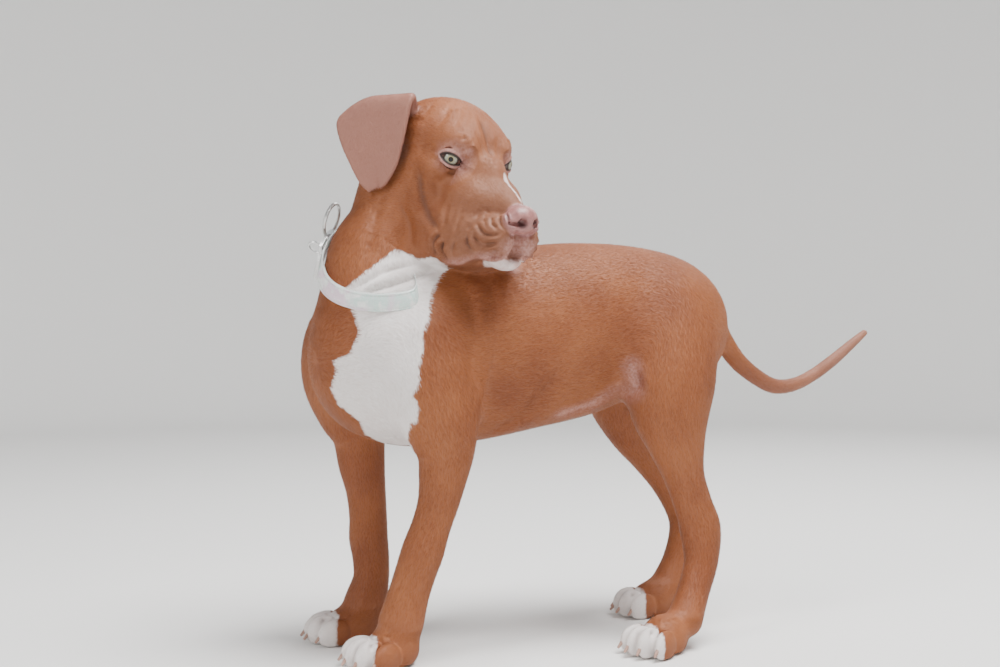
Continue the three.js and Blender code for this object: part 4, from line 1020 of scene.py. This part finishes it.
sheen = pearl.mix(pearl.noise(40, 2).between(0.42, 0.58), (0.56, 0.72, 0.66), (0.74, 0.58, 0.66))
sheen = pearl.mix(pearl.noise(90, 2).between(0.5, 0.62), sheen, (0.82, 0.84, 0.80))
flakes = pearl.node("ShaderNodeSeparateXYZ", {}, pearl.texture("ShaderNodeTexVoronoi", 1600, out=1))
sparkle = flakes.between(0.72, 0.95)
sheen = pearl.mix(sparkle * 0.6, sheen, (0.95, 0.92, 0.95))
near_edge = (across - 0.5).math("ABSOLUTE")
seam = near_edge.between(0.345, 0.36) * (1 - near_edge.between(0.385, 0.4))
thread = around.math("SINE").between(-0.35, 0.1) * seam
sheen = pearl.mix(thread * 0.7, sheen, (0.80, 0.80, 0.76))
pearl.look(Base_Color=pearl.mix(near_edge.between(0.46, 0.49), sheen, (0.62, 0.66, 0.63)),
           Roughness=0.42 - sparkle * 0.2, Metallic=0.15, Coat_Weight=0.4,
           Normal=pearl.bump(flakes * 0.4 + thread, 0.0005, 0.6))
dress(strap, pearl, "strap", "collar_strap")
metal = Finish("metal")
metal.look(Base_Color=(0.66, 0.66, 0.65), Metallic=1.0, Roughness=0.28 + metal.noise(300, 2) * 0.1)
horn = Finish("horn")
shade = horn.mix(horn.noise(200, 2).between(0.3, 0.7), (0.34, 0.19, 0.14), (0.48, 0.31, 0.25))
horn.look(Base_Color=shade, Roughness=0.4)
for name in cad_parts:
    if name.startswith(("claw", "collar")) and name != "collar_strap":
        own = bpy.data.objects[name].data
        own.materials.clear()
        own.materials.append((horn if name.startswith("claw") else metal).material)
        for polygon in own.polygons:
            polygon.use_smooth = name.endswith("ring") or name.startswith("claw")

# ---------------------------------------------------------------- studio
# A round pale floor that turns up at its edge, broad soft lights above and ahead, and the camera at the dog's
# left, a little ahead of it and level with its back.
FLOOR_COLUMNS = 72
CAMERA_TURN, CAMERA_DIP = math.radians(64), math.radians(0.97)
curve = np.linspace(0.1, math.pi / 2, 20)
run = np.concatenate(([0, 2.6], 2.6 + np.sin(curve)))[:, None] * 1000
height = np.concatenate(([0, 0], 2.3 - 2.3 * np.cos(curve)))[:, None] * 1000
spoke = math.tau * np.arange(FLOOR_COLUMNS) / FLOOR_COLUMNS
points = np.stack((run * np.cos(spoke), run * np.sin(spoke), height + 0 * spoke), -1).reshape(-1, 3)
floor = new_mesh("floor", points + CORNER * (1, 1, 0), ring_faces(len(run) - 1, FLOOR_COLUMNS))
paving = Finish("paving")
paving.look(Base_Color=(0.82, 0.81, 0.79), Roughness=0.85)
floor.data.materials.append(paving.material)

camera = bpy.data.objects.new("camera", bpy.data.cameras.new("camera"))
camera.data.lens, camera.data.sensor_width = 50, 36
camera.location = (np.array((1218, -612, 327)) - CORNER * (1, 1, 0)) / 1000
camera.rotation_euler = (math.pi / 2 - CAMERA_DIP, 0, CAMERA_TURN)
scene.collection.objects.link(camera)
scene.camera = camera


def soft_light(name, place, aim, size, power):
    lamp = bpy.data.lights.new(name, "AREA")
    lamp.shape, lamp.size, lamp.energy = "DISK", size, power
    light = bpy.data.objects.new(name, lamp)
    light.location = place
    light.rotation_euler = (Vector(aim) - Vector(place)).to_track_quat("-Z", "Y").to_euler()
    scene.collection.objects.link(light)


soft_light("sky_light", (0.6, 0.3, 2.4), (0, 0, 0.2), 1.5, 135)
soft_light("front_light", (0.9, -2.6, 2.0), (0, -0.1, 0.3), 0.9, 30)
soft_light("rim_light", (-1.2, 1.2, 1.6), (0, 0, 0.3), 1.2, 12)
world = bpy.data.worlds.new("room")
world.use_nodes = True
sky = world.node_tree.nodes["Background"].inputs
sky[0].default_value, sky[1].default_value = (0.9, 0.93, 1, 1), 0.31
scene.world = world
